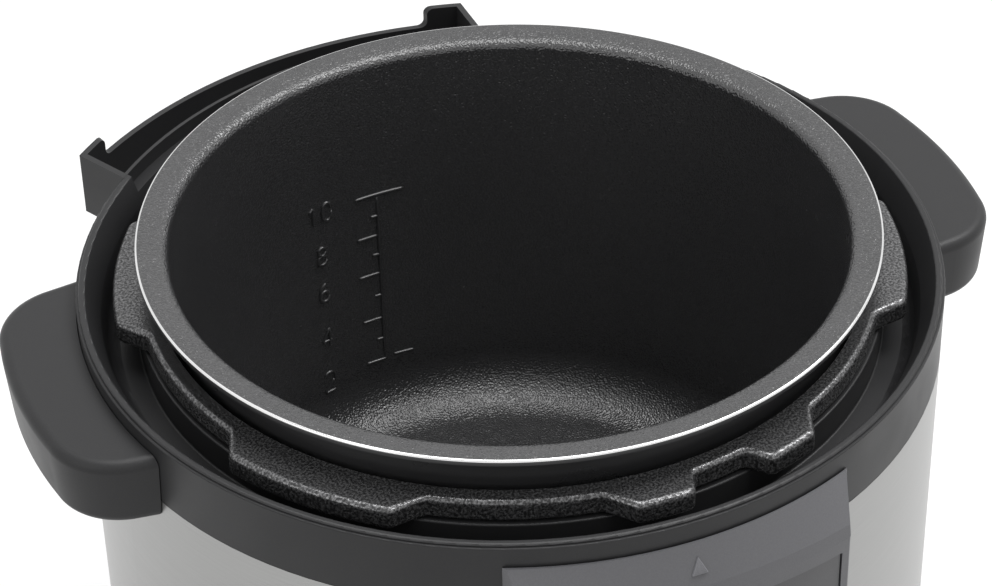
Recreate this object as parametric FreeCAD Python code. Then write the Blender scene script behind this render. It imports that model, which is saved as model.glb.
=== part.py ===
"""Electric pressure cooker: lift-out pot, lugged outer pot, collar, shell, base, heater and control panel.

Millimetres, +Z up, front towards -Y. The origin lies on the pot's axis, on the surface under the feet.
Angles are in degrees from +Y (the back) towards +X (the right-hand side seen from the front).
"""

import FreeCAD
import Part
import os
from math import asin, atan, cos, degrees, pi, radians, sin, sqrt, tan

# Cooking pot
POT_RADIUS = 112.0
POT_HEIGHT = 159.0
POT_WALL = 2.5
POT_FLOOR = 3.0
POT_CORNER = 22.0
LIP_REACH = 8.0
LIP_EDGE = 2.0
LIP_FALL = 1.6
LIP_ROUND = 5.0

# Cast outer pot and its bayonet flange
POT_GAP = 2.75
LINER_WALL = 3.25
LINER_FLOOR = 3.0
LINER_CORNER = 16.0
LINER_HOLE = 45.0
FLANGE_DROP = 15.5
FLANGE_THICK = 8.0
FLANGE_REACH = 2.25
FLANGE_ROUND = 2.0
LUG_COUNT = 6
LUG_REACH = 8.25
LUG_TURN = -9.0
LUG_SPAN = 25.0
FRONT_LUG_SPAN = 28.5
LUG_FLANK = 4.0
LUG_CORNER = 3.0
NOTCH_SPAN = 12.4
NOTCH_FLANK = 1.7

# Upper collar
GUTTER_GAP = 4.5
COLLAR_BAND = 7.4
COLLAR_WALL = 2.5
COLLAR_HEIGHT = 23.3
RIDGE_DROP = 15.1
RIDGE_WIDTH = 2.1
RIDGE_STEP = 1.1
RIDGE_SETBACK = 0.9
RIDGE_ROUND = 0.7
INNER_SLOPE = 9.0
GUTTER_FLOOR = 4.4
GUTTER_DRAFT = 2.0
GUTTER_ROUND = 4.0
CAVITY_DROP = 11.0
SPIGOT = 8.0
SPIGOT_GAP = 0.3

# Rear channel of the collar
CHANNEL_TURN = -14.0
CHANNEL_DEPTH = 19.6
CHANNEL_HALF_WIDTH = 75.5
CHANNEL_FLARE = 13.5
CHANNEL_WALL = 2.2
CHANNEL_LOW_WALL = 7.6
CHANNEL_LIP_DROP = 5.2
CHANNEL_STOP = 12.3
CHANNEL_ROUND = 2.5

# Handles
HANDLE_REACH = 18.9
HANDLE_HALF_WIDTH = 51.2
HANDLE_TIP_HALF_WIDTH = 46.6
HANDLE_SHIFT = 5.4
HANDLE_CORNER = 24.0
HANDLE_BOW = 150.0
HANDLE_LEAN = 9.6
HANDLE_TOP_DROP = 5.9
HANDLE_THICK = 24.4
HANDLE_DRAFT = 1.5
HANDLE_ROUND = 3.5
HANDLE_WALL = 3.5
HANDLE_ROOT = 7.0
HANDLE_GAP = 0.25
HANDLE_SCREW_OFFSET = 24.0
HANDLE_SCREW_DROP = 4.0

# Steel shell and base
SHELL_WALL = 0.8
SHELL_GAP = 0.2
BASE_PROUD = 0.5
BASE_WALL = 3.0
BASE_FLOOR = 2.5
BASE_HEIGHT = 44.0
BASE_ROUND = 8.0
VENT_COUNT = 18
VENT_WIDTH = 4.0
VENT_LENGTH = 18.0
VENT_RADIUS = 38.0
FOOT_COUNT = 4
FOOT_HEIGHT = 6.0
FOOT_RADIUS = 10.0
FOOT_SINK = 1.5
FOOT_INSET = 32.0

# Legs between base and outer pot
LEG_COUNT = 3
LEG_TURN = 60.0
LEG_HEIGHT = 58.5
LEG_SHEET = 2.0
LEG_WIDTH = 24.0
LEG_TAB = 18.0
LEG_INSET = 20.0
LEG_BEND = 3.0

# Heating plate and sensor
HEATER_RADIUS = 86.0
HEATER_THICK = 11.8
HEATER_RIM = 5.0
HEATER_POST = 4.0
HEATER_POST_RADIUS = 7.0
HEATER_POST_PITCH = 68.0
HEATER_TUBE = 4.5
HEATER_TUBE_PITCH = 50.0
SEAT_GAP = 0.2
TERMINAL_RADIUS = 5.0
TERMINAL_LENGTH = 16.0
TERMINAL_SPAN = 20.0
TAB_WIDTH = 6.3
TAB_THICK = 0.8
TAB_LENGTH = 7.0
SENSOR_RADIUS = 16.0
SENSOR_GAP = 0.5
SENSOR_SKIRT = 16.0
SENSOR_WALL = 1.5
SENSOR_LIP = 2.2
SENSOR_TRAVEL = 3.0
CUP_CLEAR = 7.0
CUP_SHEET = 1.5
CUP_FLANGE = 9.0
SPRING_RADIUS = 8.0
SPRING_WIRE = 1.2
SPRING_TURNS = 5

# Pressure switch and thermal fuse under the outer pot
SWITCH_TURN = 150.0
SWITCH_PITCH = 66.0
SWITCH_LENGTH = 20.0
SWITCH_WIDTH = 10.0
SWITCH_HEIGHT = 15.0
SWITCH_DROP = 7.0
SWITCH_ROUND = 1.0
LEVER_SHEET = 1.0
LEVER_WIDTH = 4.0
LEVER_GAP = 1.0
FUSE_TURN = -90.0
FUSE_PITCH = 66.0
FUSE_RADIUS = 3.0
FUSE_LENGTH = 22.0
CLIP_SHEET = 1.0

# Control panel
PANEL_FACE_RADIUS = 195.0
PANEL_PROUD = 6.6
PANEL_HALF_WIDTH = 56.0
PANEL_TIP_HALF_WIDTH = 52.7
PANEL_SEAT = 0.25
PANEL_EDGE = 0.8
PANEL_TOP_DROP = 7.9
PANEL_BAND = 13.4
PANEL_STRIP = 4.4
PANEL_STRIP_FALL = 0.8
PANEL_CHIN = 9.0
PANEL_FOOT = 14.0
PANEL_WALL = 2.4
PANEL_ROUND = 1.0
OVERLAY_INSET = 3.0
OVERLAY_TOP = 4.6
OVERLAY_THICK = 2.0
OVERLAY_SINK = 0.5
OVERLAY_GAP = 0.5
OVERLAY_LEDGE = 4.0
CUTOUT_MARGIN = 3.5
MARK_SIZE = 5.0
MARK_RISE = 0.5

# Display, keys and boards
WINDOW_WIDTH = 60.0
WINDOW_HEIGHT = 26.0
WINDOW_TOP = 9.0
WINDOW_CORNER = 3.0
MODULE_MARGIN = 3.0
MODULE_GAP = 0.4
KEY_ROWS = 4
KEY_WIDTH = 38.0
KEY_HEIGHT = 13.0
KEY_SPACING = 46.0
KEY_MARGIN = 4.0
KEY_CORNER = 3.0
KEY_GAP = 0.4
KEY_RISE = 0.4
KEY_FLANGE = 1.2
KEY_FLANGE_THICK = 1.6
KEY_STEM = 2.0
KEY_TRAVEL = 0.8
KEY_FLOAT = 0.15
BOARD_THICK = 1.6
BOARD_DEPTH = 15.0
BOARD_MARGIN = 1.0
SWITCH_BODY = 6.0
SWITCH_BODY_HEIGHT = 3.4
SWITCH_PLUNGER = 1.6
SWITCH_PLUNGER_HEIGHT = 0.9
BOSS_RADIUS = 3.2
BOSS_INSET = 5.0

# Power board and inlet
POWER_BOARD_LENGTH = 96.0
POWER_BOARD_WIDTH = 60.0
POWER_BOARD_BACK = 74.0
STANDOFF = 7.0
POWER_BOARD_MARGIN = 5.0
RELAY_OUT = 29.0
RELAY_LENGTH = 19.0
RELAY_WIDTH = 15.5
RELAY_HEIGHT = 15.5
CORE_LENGTH = 28.0
CORE_WIDTH = 24.0
CORE_HEIGHT = 9.0
COIL_LENGTH = 16.0
COIL_HEIGHT = 12.0
CAPACITOR_RADIUS = 6.0
CAPACITOR_HEIGHT = 18.0
CAPACITOR_BACK = 9.0
BLOCK_LENGTH = 14.0
BLOCK_WIDTH = 10.0
BLOCK_HEIGHT = 11.0
INLET_WIDTH = 27.0
INLET_HEIGHT = 20.0
INLET_DEPTH = 18.0
INLET_FLANGE = 2.5
INLET_FLANGE_MARGIN = 3.0
INLET_WALL = 1.6
INLET_POCKET_DEPTH = 14.0
INLET_POCKET_MARGIN = 5.0
INLET_CENTRE = 26.0
PIN_WIDTH = 4.0
PIN_THICK = 2.0
PIN_LENGTH = 12.0
PIN_PITCH = 7.0
PIN_TAIL = 8.0
PIN_LIFT = 1.0

# Fasteners
SCREW_RADIUS = 1.75
SCREW_HEAD_RADIUS = 3.4
SCREW_HEAD = 2.4
SCREW_GAP = 0.25
THREAD_GAP = 0.05
CUT = 30.0

# Radii that follow from the pot outwards
liner_in = POT_RADIUS + POT_GAP
liner_out = liner_in + LINER_WALL
flange_radius = liner_out + FLANGE_REACH
lug_radius = flange_radius + LUG_REACH
gutter_radius = lug_radius + GUTTER_GAP
shell_radius = gutter_radius + COLLAR_BAND
shell_in = shell_radius - SHELL_WALL
spigot_radius = shell_in - SPIGOT_GAP
lip_radius = POT_RADIUS + LIP_REACH
base_radius = shell_radius + BASE_PROUD

# Heights that follow from the feet upwards
floor_z = FOOT_HEIGHT
leg_z = floor_z + BASE_FLOOR
liner_z = leg_z + LEG_HEIGHT
liner_floor_z = liner_z + LINER_FLOOR
heater_z = liner_floor_z + HEATER_POST
heater_top = heater_z + HEATER_THICK
pot_z = heater_top + SEAT_GAP
sensor_low = heater_top - SENSOR_SKIRT
cup_floor = sensor_low - SENSOR_TRAVEL - CUP_CLEAR
rim_z = pot_z + POT_HEIGHT
flange_top = rim_z - FLANGE_DROP
flange_bottom = flange_top - FLANGE_THICK
ridge_z = rim_z - RIDGE_DROP
collar_z = ridge_z - COLLAR_HEIGHT
gutter_z = collar_z + GUTTER_FLOOR

# Places of the control panel
panel_back = shell_radius + PANEL_SEAT
panel_axis_y = PANEL_FACE_RADIUS - shell_radius - PANEL_PROUD
panel_top = ridge_z - PANEL_TOP_DROP
panel_edge_z = panel_top - PANEL_BAND
panel_strip_z = panel_edge_z - PANEL_STRIP
panel_bottom = BASE_HEIGHT + PANEL_FOOT
panel_chin_z = panel_bottom + PANEL_CHIN
overlay_half = PANEL_TIP_HALF_WIDTH - OVERLAY_INSET
overlay_top = panel_strip_z - OVERLAY_TOP
overlay_bottom = panel_chin_z + OVERLAY_INSET
overlay_face = PANEL_FACE_RADIUS - OVERLAY_SINK
overlay_back = overlay_face - OVERLAY_THICK
window_top = overlay_top - WINDOW_TOP
window_bottom = window_top - WINDOW_HEIGHT
key_top = window_bottom - KEY_MARGIN
key_pitch = (key_top - overlay_bottom - KEY_MARGIN) / KEY_ROWS
board_y = panel_axis_y - PANEL_FACE_RADIUS + BOARD_DEPTH
board_half = overlay_half - BOARD_MARGIN


def polar(radius, angle, z=0.0):
    """Point at a radius and an angle from the back towards the right."""
    return FreeCAD.Vector(radius * sin(radians(angle)), radius * cos(radians(angle)), z)


def plan(u, v):
    """Outline point in the horizontal plane."""
    return FreeCAD.Vector(u, v, 0)


def section(u, v):
    """Outline point in the upright plane through the X axis."""
    return FreeCAD.Vector(u, 0, v)


def rounded_wire(corners, place):
    """Closed outline through corners (u, v, radius), each one rounded by a tangent arc."""
    points = [FreeCAD.Vector(u, v, 0) for u, v, _ in corners]
    arcs = []
    for index, (_, _, radius) in enumerate(corners):
        corner = points[index]
        to_last = (points[index - 1] - corner).normalize()
        to_next = (points[(index + 1) % len(points)] - corner).normalize()
        half = to_last.getAngle(to_next) / 2
        middle = (to_last + to_next).normalize() if radius else to_last
        reach = radius / tan(half)
        top = corner + middle * (radius / sin(half) - radius)
        arcs.append((corner + to_last * reach, top, corner + to_next * reach, radius))
    edges = []
    for index, (start, top, end, radius) in enumerate(arcs):
        last_end = arcs[index - 1][2]
        if (start - last_end).Length > 1e-6:
            edges.append(Part.LineSegment(place(last_end.x, last_end.y), place(start.x, start.y)).toShape())
        if radius:
            arc = Part.Arc(place(start.x, start.y), place(top.x, top.y), place(end.x, end.y))
            edges.append(arc.toShape())
    return Part.Wire(edges)


def revolved(corners):
    """Solid of revolution about Z of an outline in radius and height."""
    face = Part.Face(rounded_wire(corners, section))
    return face.revolve(FreeCAD.Vector(0, 0, 0), FreeCAD.Vector(0, 0, 1), 360)


def prism(corners, z0, z1):
    """Upright prism of a rounded outline."""
    face = Part.Face(rounded_wire(corners, plan))
    solid = face.extrude(FreeCAD.Vector(0, 0, z1 - z0))
    solid.translate(FreeCAD.Vector(0, 0, z0))
    return solid


def front_prism(corners, y0, y1):
    """Prism of a rounded outline in X and Z, from y0 to y1."""
    face = Part.Face(rounded_wire(corners, section))
    solid = face.extrude(FreeCAD.Vector(0, y1 - y0, 0))
    solid.translate(FreeCAD.Vector(0, y0, 0))
    return solid


def rectangle(u0, u1, v0, v1, radius=0.0):
    """Corners of a rounded rectangle."""
    return [(u0, v0, radius), (u1, v0, radius), (u1, v1, radius), (u0, v1, radius)]


def box(x0, x1, y0, y1, z0, z1):
    """Block between two corners."""
    return Part.makeBox(x1 - x0, y1 - y0, z1 - z0, FreeCAD.Vector(x0, y0, z0))


def disc(radius, z0, z1, centre=None):
    """Upright cylinder."""
    base = centre or FreeCAD.Vector(0, 0, 0)
    return Part.makeCylinder(radius, z1 - z0, FreeCAD.Vector(base.x, base.y, z0))


def ring(outer, inner, z0, z1):
    """Upright tube about the pot's axis."""
    return disc(outer, z0, z1).cut(disc(inner, z0, z1))


def rod(radius, start, end):
    """Cylinder between two points."""
    return Part.makeCylinder(radius, (end - start).Length, start, end - start)


def turned(shape, angle):
    """Copy turned about Z, from the back towards the right."""
    copy = shape.copy()
    copy.rotate(FreeCAD.Vector(0, 0, 0), FreeCAD.Vector(0, 0, 1), -angle)
    return copy


def joined(shapes):
    """One solid of several that meet."""
    return shapes[0].fuse(shapes[1:]).removeSplitter()


def group(shapes):
    """Separate solids kept in one node."""
    return Part.makeCompound(shapes)


def screw(seat, way, length):
    """Pan-head screw: its head sits on the seat and its shank runs the given way."""
    way = FreeCAD.Vector(way).normalize()
    head = rod(SCREW_HEAD_RADIUS, seat - way * SCREW_HEAD, seat)
    rims = [edge for edge in head.Edges if edge.isClosed()]
    outer = [edge for edge in rims if (edge.CenterOfMass - seat).Length > SCREW_HEAD / 2]
    head = head.makeFillet(SCREW_HEAD / 2, outer)
    return joined([head, rod(SCREW_RADIUS, seat, seat + way * length)])


def save(name, shape):
    """Write one piece."""
    shape.exportStep("parts/" + name + ".step")


def spread(count, start=0.0):
    """Evenly spaced angles round the axis."""
    return [start + 360.0 * index / count for index in range(count)]


def inner_pot():
    """Drawn pot with a flared lip whose top falls towards the inside."""
    inside = POT_RADIUS - POT_WALL
    inner_corner = POT_CORNER - POT_WALL
    return revolved([
        (0, pot_z, 0),
        (POT_RADIUS, pot_z, POT_CORNER),
        (POT_RADIUS, rim_z - LIP_EDGE - LIP_FALL, LIP_ROUND - POT_WALL),
        (lip_radius, rim_z - LIP_EDGE, 0),
        (lip_radius, rim_z, LIP_EDGE / 4),
        (inside, rim_z - LIP_FALL, LIP_ROUND),
        (inside, pot_z + POT_FLOOR, inner_corner),
        (0, pot_z + POT_FLOOR, 0),
    ])


def lug_outline(span, flank):
    """Plan of a lug: straight flanks from the flange to the lug's end, carried past both."""
    foot = polar(flange_radius, span / 2 + flank)
    tip = polar(lug_radius, span / 2)
    way = (tip - foot).normalize()
    beyond = tip + way * ((lug_radius + CUT - tip.y) / way.y)
    root = foot - way * LUG_REACH / 2
    return [(root.x, root.y, 0), (beyond.x, beyond.y, 0), (-beyond.x, beyond.y, 0), (-root.x, root.y, 0)]


def bayonet_flange():
    """Flange ring with six lugs, the front one wider and notched, all edges rounded."""
    body = disc(flange_radius, flange_bottom, flange_top)
    limit = disc(lug_radius, flange_bottom, flange_top)
    lugs = []
    for index, angle in enumerate(spread(LUG_COUNT, LUG_TURN)):
        front = index == LUG_COUNT // 2
        outline = lug_outline(FRONT_LUG_SPAN if front else LUG_SPAN, LUG_FLANK)
        lug = prism(outline, flange_bottom, flange_top).common(limit)
        if front:
            notch = prism(lug_outline(NOTCH_SPAN, -NOTCH_FLANK), flange_bottom, flange_top).cut(body)
            lug = lug.cut(notch)
        lugs.append(turned(lug, angle))
    flange = joined([body] + lugs)
    upright = [edge for edge in flange.Edges if edge.BoundBox.ZLength > FLANGE_THICK / 2]
    corners = [edge for edge in upright if edge.BoundBox.XLength + edge.BoundBox.YLength < FLANGE_ROUND / 10]
    seam = [edge for edge in corners if len(flange.ancestorsOfType(edge, Part.Face)) < 2]
    flange = flange.makeFillet(LUG_CORNER, [edge for edge in corners if edge not in seam])
    brim = [edge for edge in flange.Edges if edge.BoundBox.ZLength < FLANGE_ROUND / 10]
    return flange.makeFillet(FLANGE_ROUND, brim)


def outer_pot():
    """Cast pot that carries the heater and locks the lid by its lugged flange."""
    wall = revolved([
        (LINER_HOLE, liner_z, 0),
        (liner_out, liner_z, LINER_CORNER + LINER_WALL),
        (liner_out, flange_top - FLANGE_ROUND, 0),
        (liner_in, flange_top - FLANGE_ROUND, 0),
        (liner_in, liner_floor_z, LINER_CORNER),
        (LINER_HOLE, liner_floor_z, 0),
    ])
    bore = disc(liner_in, flange_bottom - CUT, flange_top + CUT)
    pot = joined([wall, bayonet_flange().cut(bore)])
    for angle in spread(LEG_COUNT, LEG_TURN):
        place = polar(HEATER_POST_PITCH, angle + LEG_TURN)
        pot = pot.cut(disc(SCREW_RADIUS + SCREW_GAP, liner_z - CUT, liner_floor_z + CUT, place))
        place = polar(leg_radius() - LEG_TAB / 2, angle)
        pot = pot.cut(disc(SCREW_RADIUS + THREAD_GAP, liner_z - CUT, liner_floor_z + CUT, place))
    for side in (-1, 1):
        place = polar(HEATER_TUBE_PITCH, 180 + side * TERMINAL_SPAN)
        pot = pot.cut(disc(TERMINAL_RADIUS + POT_GAP, liner_z - CUT, liner_floor_z + CUT, place))
    return pot


def channel_plan(inset, inner, z0, z1):
    """Block of the rear channel's plan, in from its outer faces by an inset, down to an inner radius."""
    ring_y = sqrt(shell_radius ** 2 - CHANNEL_HALF_WIDTH ** 2)
    flare = tan(radians(CHANNEL_FLARE))
    sides = CHANNEL_HALF_WIDTH - inset / cos(radians(CHANNEL_FLARE))
    near = ring_y - CUT
    far = shell_radius + CHANNEL_DEPTH + CUT
    near_half = sides + (near - ring_y) * flare
    far_half = sides + (far - ring_y) * flare
    corners = [(-near_half, near, 0), (near_half, near, 0), (far_half, far, 0), (-far_half, far, 0)]
    wedge = prism(corners, z0, z1)
    return wedge.common(ring(shell_radius + CHANNEL_DEPTH - inset, inner, z0, z1))


def rear_channel():
    """Pocket behind the ridge where the lid's back travels between two raised stops."""
    outer = channel_plan(0, shell_radius - COLLAR_WALL / 2, collar_z, ridge_z)
    hollow = channel_plan(CHANNEL_WALL, shell_radius, collar_z + CHANNEL_WALL, ridge_z + CUT)
    corner = channel_plan(0, shell_radius + CHANNEL_WALL, collar_z, ridge_z).BoundBox.XMax
    stop = corner - CHANNEL_STOP
    low = ridge_z - CHANNEL_LOW_WALL
    side = corner + CUT
    gate = front_prism([
        (-stop, low, CHANNEL_ROUND), (stop, low, CHANNEL_ROUND), (stop, ridge_z, CHANNEL_ROUND),
        (side, ridge_z, 0), (side, ridge_z + CUT, 0), (-side, ridge_z + CUT, 0), (-side, ridge_z, 0),
        (-stop, ridge_z, CHANNEL_ROUND),
    ], shell_radius + CHANNEL_WALL / 2, shell_radius + CHANNEL_DEPTH + CUT)
    keep = disc(shell_radius + CHANNEL_WALL / 2, low - CUT, ridge_z + CUT)
    return outer.cut(hollow).cut(gate.cut(keep))


def handle_screw_places():
    """Angle of each handle screw, on both sides."""
    places = []
    for side in (-1, 1):
        for end in (-1, 1):
            reach = (HANDLE_SHIFT + end * HANDLE_SCREW_OFFSET) / shell_radius
            places.append(side * (90 - degrees(asin(reach))))
    return places


def upper_collar():
    """Moulded ring: ridge, sloped inner wall, gutter, seat under the flange, spigot in the shell, channel."""
    ridge_out = shell_radius - RIDGE_SETBACK
    ridge_in = ridge_out - RIDGE_WIDTH
    inside = shell_radius - COLLAR_WALL
    seat_in = liner_out + 2 * SPIGOT_GAP
    seat_out = seat_in + COLLAR_WALL
    seat_z = flange_bottom - SPIGOT_GAP
    under_z = gutter_z - COLLAR_WALL
    gutter_foot = gutter_radius - GUTTER_DRAFT
    body = revolved([
        (shell_radius, collar_z, 0),
        (shell_radius, ridge_z - RIDGE_STEP, RIDGE_ROUND / 2),
        (ridge_out, ridge_z - RIDGE_STEP, 0),
        (ridge_out, ridge_z, RIDGE_ROUND),
        (ridge_in, ridge_z, RIDGE_ROUND),
        (gutter_radius, ridge_z - INNER_SLOPE, GUTTER_ROUND),
        (gutter_foot, gutter_z, GUTTER_ROUND),
        (seat_out, gutter_z, RIDGE_ROUND),
        (seat_out, seat_z, RIDGE_ROUND),
        (seat_in, seat_z, 0),
        (seat_in, under_z, 0),
        (gutter_foot + COLLAR_WALL, under_z, GUTTER_ROUND),
        (gutter_radius + COLLAR_WALL, ridge_z - CAVITY_DROP - COLLAR_WALL, 0),
        (inside, ridge_z - CAVITY_DROP, 0),
        (inside, collar_z - SPIGOT, 0),
        (spigot_radius, collar_z - SPIGOT, 0),
        (spigot_radius, collar_z, 0),
    ])
    dip = channel_plan(CHANNEL_WALL, gutter_radius - GUTTER_GAP, ridge_z - CHANNEL_LIP_DROP, ridge_z + CUT)
    body = body.cut(turned(dip, CHANNEL_TURN)).cut(panel_cutout(SHELL_GAP))
    collar = joined([body, turned(rear_channel(), CHANNEL_TURN)])
    z = collar_z - HANDLE_SCREW_DROP
    for angle in handle_screw_places():
        pad = rod(SCREW_HEAD_RADIUS, polar(inside - COLLAR_WALL, angle, z), polar(spigot_radius, angle, z))
        hole = rod(SCREW_RADIUS + SCREW_GAP, polar(inside - CUT, angle, z), polar(inside + CUT, angle, z))
        pad = pad.common(disc(spigot_radius, z - CUT, z + CUT))
        collar = joined([collar, pad]).cut(hole)
    return collar


def handle_bow(root):
    """Rounding of the bowed edge, at most what the pocket's edge has room for beside its corner."""
    inset = HANDLE_DRAFT + HANDLE_WALL
    lean = radians(HANDLE_LEAN)
    taper = HANDLE_HALF_WIDTH - HANDLE_TIP_HALF_WIDTH
    flank = atan(taper / (shell_radius + HANDLE_REACH - inset - root))
    corner_reach = (HANDLE_CORNER - inset) / tan((pi / 2 + flank + lean) / 2)
    edge = (HANDLE_TIP_HALF_WIDTH - inset) / cos(lean)
    return min(HANDLE_BOW, (edge - corner_reach) / tan(lean))


def handle_outline(inset, root):
    """Plan of the right-hand grip: a bowed outer edge between two large corners."""
    corner = shell_radius + HANDLE_REACH - inset
    tip = HANDLE_TIP_HALF_WIDTH - inset
    half = HANDLE_HALF_WIDTH - inset
    crown = corner + tip * tan(radians(HANDLE_LEAN))
    radius = HANDLE_CORNER - inset
    front = [(root, -half, 0), (corner, -tip, radius), (crown, 0, handle_bow(root))]
    return front + [(corner, tip, radius), (root, half, 0)]


def handle(side):
    """Grip on the collar, hollow from below for the fingers; side is 1 for right and -1 for left."""
    top = ridge_z - HANDLE_TOP_DROP
    bottom = top - HANDLE_THICK
    root = shell_radius * cos(asin(HANDLE_HALF_WIDTH / shell_radius)) - COLLAR_BAND
    low_wire = rounded_wire(handle_outline(HANDLE_DRAFT, root), plan)
    high_wire = rounded_wire(handle_outline(0, root), plan)
    low_wire.translate(FreeCAD.Vector(0, 0, bottom))
    high_wire.translate(FreeCAD.Vector(0, 0, top))
    grip = Part.makeLoft([low_wire, high_wire], True, True)
    level = [edge for edge in grip.Edges if edge.BoundBox.ZLength < HANDLE_GAP]
    brim = [edge for edge in level if edge.BoundBox.XMax > root + HANDLE_GAP]
    grip = grip.makeFillet(HANDLE_ROUND, brim)
    pocket = prism(handle_outline(HANDLE_DRAFT + HANDLE_WALL, root), bottom - CUT, top - HANDLE_WALL)
    pocket.translate(FreeCAD.Vector(0, HANDLE_SHIFT, 0))
    grip.translate(FreeCAD.Vector(0, HANDLE_SHIFT, 0))
    grip = grip.cut(pocket.cut(disc(shell_radius + HANDLE_ROOT, bottom - CUT, top + CUT)))
    if side < 0:
        grip = grip.mirror(FreeCAD.Vector(0, 0, 0), FreeCAD.Vector(1, 0, 0))
    grip = grip.cut(disc(shell_radius + HANDLE_GAP, bottom - CUT, top + CUT))
    z = collar_z - HANDLE_SCREW_DROP
    for angle in handle_screw_places():
        end = shell_radius + HANDLE_ROOT
        grip = grip.cut(rod(SCREW_RADIUS + THREAD_GAP, polar(shell_in, angle, z), polar(end, angle, z)))
    return grip


def handle_screws():
    """Screws from inside, through the collar's spigot and the shell into the handles' roots."""
    z = collar_z - HANDLE_SCREW_DROP
    seat = shell_radius - 2 * COLLAR_WALL
    length = shell_radius + HANDLE_ROOT - SCREW_HEAD - seat
    return group([screw(polar(seat, a, z), polar(1, a), length) for a in handle_screw_places()])


def panel_cutout(margin):
    """Block through the front wall where the panel's back goes in, grown by a margin."""
    half = PANEL_HALF_WIDTH - CUTOUT_MARGIN + margin
    low = panel_bottom + CUTOUT_MARGIN - margin
    high = overlay_top + CUTOUT_MARGIN + margin
    return front_prism(rectangle(-half, half, low, high, CUTOUT_MARGIN), -shell_radius - CUT, -liner_out)


def steel_shell():
    """Rolled steel wrap between base and collar, with the panel's cut-out and the handle screws' holes."""
    shell = ring(shell_radius, shell_in, BASE_HEIGHT + SHELL_GAP, collar_z - SHELL_GAP)
    shell = shell.cut(panel_cutout(0))
    z = collar_z - HANDLE_SCREW_DROP
    for angle in handle_screw_places():
        hole = rod(SCREW_RADIUS + SCREW_GAP, polar(shell_in - CUT, angle, z), polar(shell_in + CUT, angle, z))
        shell = shell.cut(hole)
    return shell


def leg_radius():
    """Outer radius of the legs' upright webs."""
    return liner_out - LEG_INSET


def inlet_pocket(margin, back, front):
    """Block of the inlet's recess in the back of the base."""
    half = INLET_WIDTH / 2 + INLET_POCKET_MARGIN + margin
    rise = INLET_HEIGHT / 2 + INLET_POCKET_MARGIN + margin
    return box(-half, half, back, front, INLET_CENTRE - rise, INLET_CENTRE + rise)


def base_pan():
    """Moulded base: rounded dish with vents, foot seats, board posts and a recess for the inlet."""
    inside = base_radius - BASE_WALL
    neck = spigot_radius - BASE_WALL
    pan = revolved([
        (0, floor_z, 0),
        (base_radius, floor_z, BASE_ROUND),
        (base_radius, BASE_HEIGHT, 0),
        (spigot_radius, BASE_HEIGHT, 0),
        (spigot_radius, BASE_HEIGHT + SPIGOT, 0),
        (neck, BASE_HEIGHT + SPIGOT, 0),
        (neck, BASE_HEIGHT - BASE_WALL, 0),
        (inside, BASE_HEIGHT - 2 * BASE_WALL, 0),
        (inside, leg_z, BASE_ROUND - BASE_WALL),
        (0, leg_z, 0),
    ])
    recess_y = base_radius - INLET_POCKET_DEPTH
    walls = inlet_pocket(BASE_WALL, recess_y - BASE_WALL, base_radius)
    walls = walls.common(disc(base_radius, floor_z, BASE_HEIGHT))
    hollow = inlet_pocket(0, recess_y, base_radius + CUT)
    half = INLET_WIDTH / 2 + THREAD_GAP
    rise = INLET_HEIGHT / 2 + THREAD_GAP
    opening = box(-half, half, 0, base_radius, INLET_CENTRE - rise, INLET_CENTRE + rise)
    pan = joined([pan, walls]).cut(hollow).cut(opening)
    half_vent = VENT_WIDTH / 2
    slot = rectangle(-half_vent, half_vent, -VENT_RADIUS - VENT_LENGTH, -VENT_RADIUS, half_vent - SEAT_GAP)
    for angle in spread(VENT_COUNT):
        pan = pan.cut(turned(prism(slot, floor_z - CUT, leg_z + CUT), angle))
    for angle in spread(FOOT_COUNT, 45):
        seat = polar(base_radius - FOOT_INSET, angle)
        pad = disc(FOOT_RADIUS + BASE_WALL, leg_z - BASE_FLOOR / 2, leg_z + FOOT_SINK, seat)
        pan = joined([pan, pad]).cut(disc(FOOT_RADIUS + SCREW_GAP, 0, floor_z + FOOT_SINK, seat))
    for angle in spread(LEG_COUNT, LEG_TURN):
        place = polar(leg_radius() - LEG_TAB / 2, angle)
        pan = pan.cut(disc(SCREW_RADIUS + SCREW_GAP, 0, leg_z + CUT, place))
    for x, y in power_board_holes():
        post = disc(BOSS_RADIUS, leg_z - BASE_FLOOR / 2, leg_z + STANDOFF, plan(x, y))
        bite = disc(SCREW_RADIUS + THREAD_GAP, leg_z, leg_z + STANDOFF, plan(x, y))
        pan = joined([pan, post]).cut(bite)
    return pan


def rubber_feet():
    """Tapered pads sunk into the base's seats."""
    feet = []
    for angle in spread(FOOT_COUNT, 45):
        seat = polar(base_radius - FOOT_INSET, angle)
        pad = disc(FOOT_RADIUS, 0, floor_z + FOOT_SINK, seat)
        low = [edge for edge in pad.Edges if edge.BoundBox.ZMax < FOOT_SINK]
        feet.append(pad.makeFillet(FOOT_SINK, low))
    return group(feet)


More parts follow.
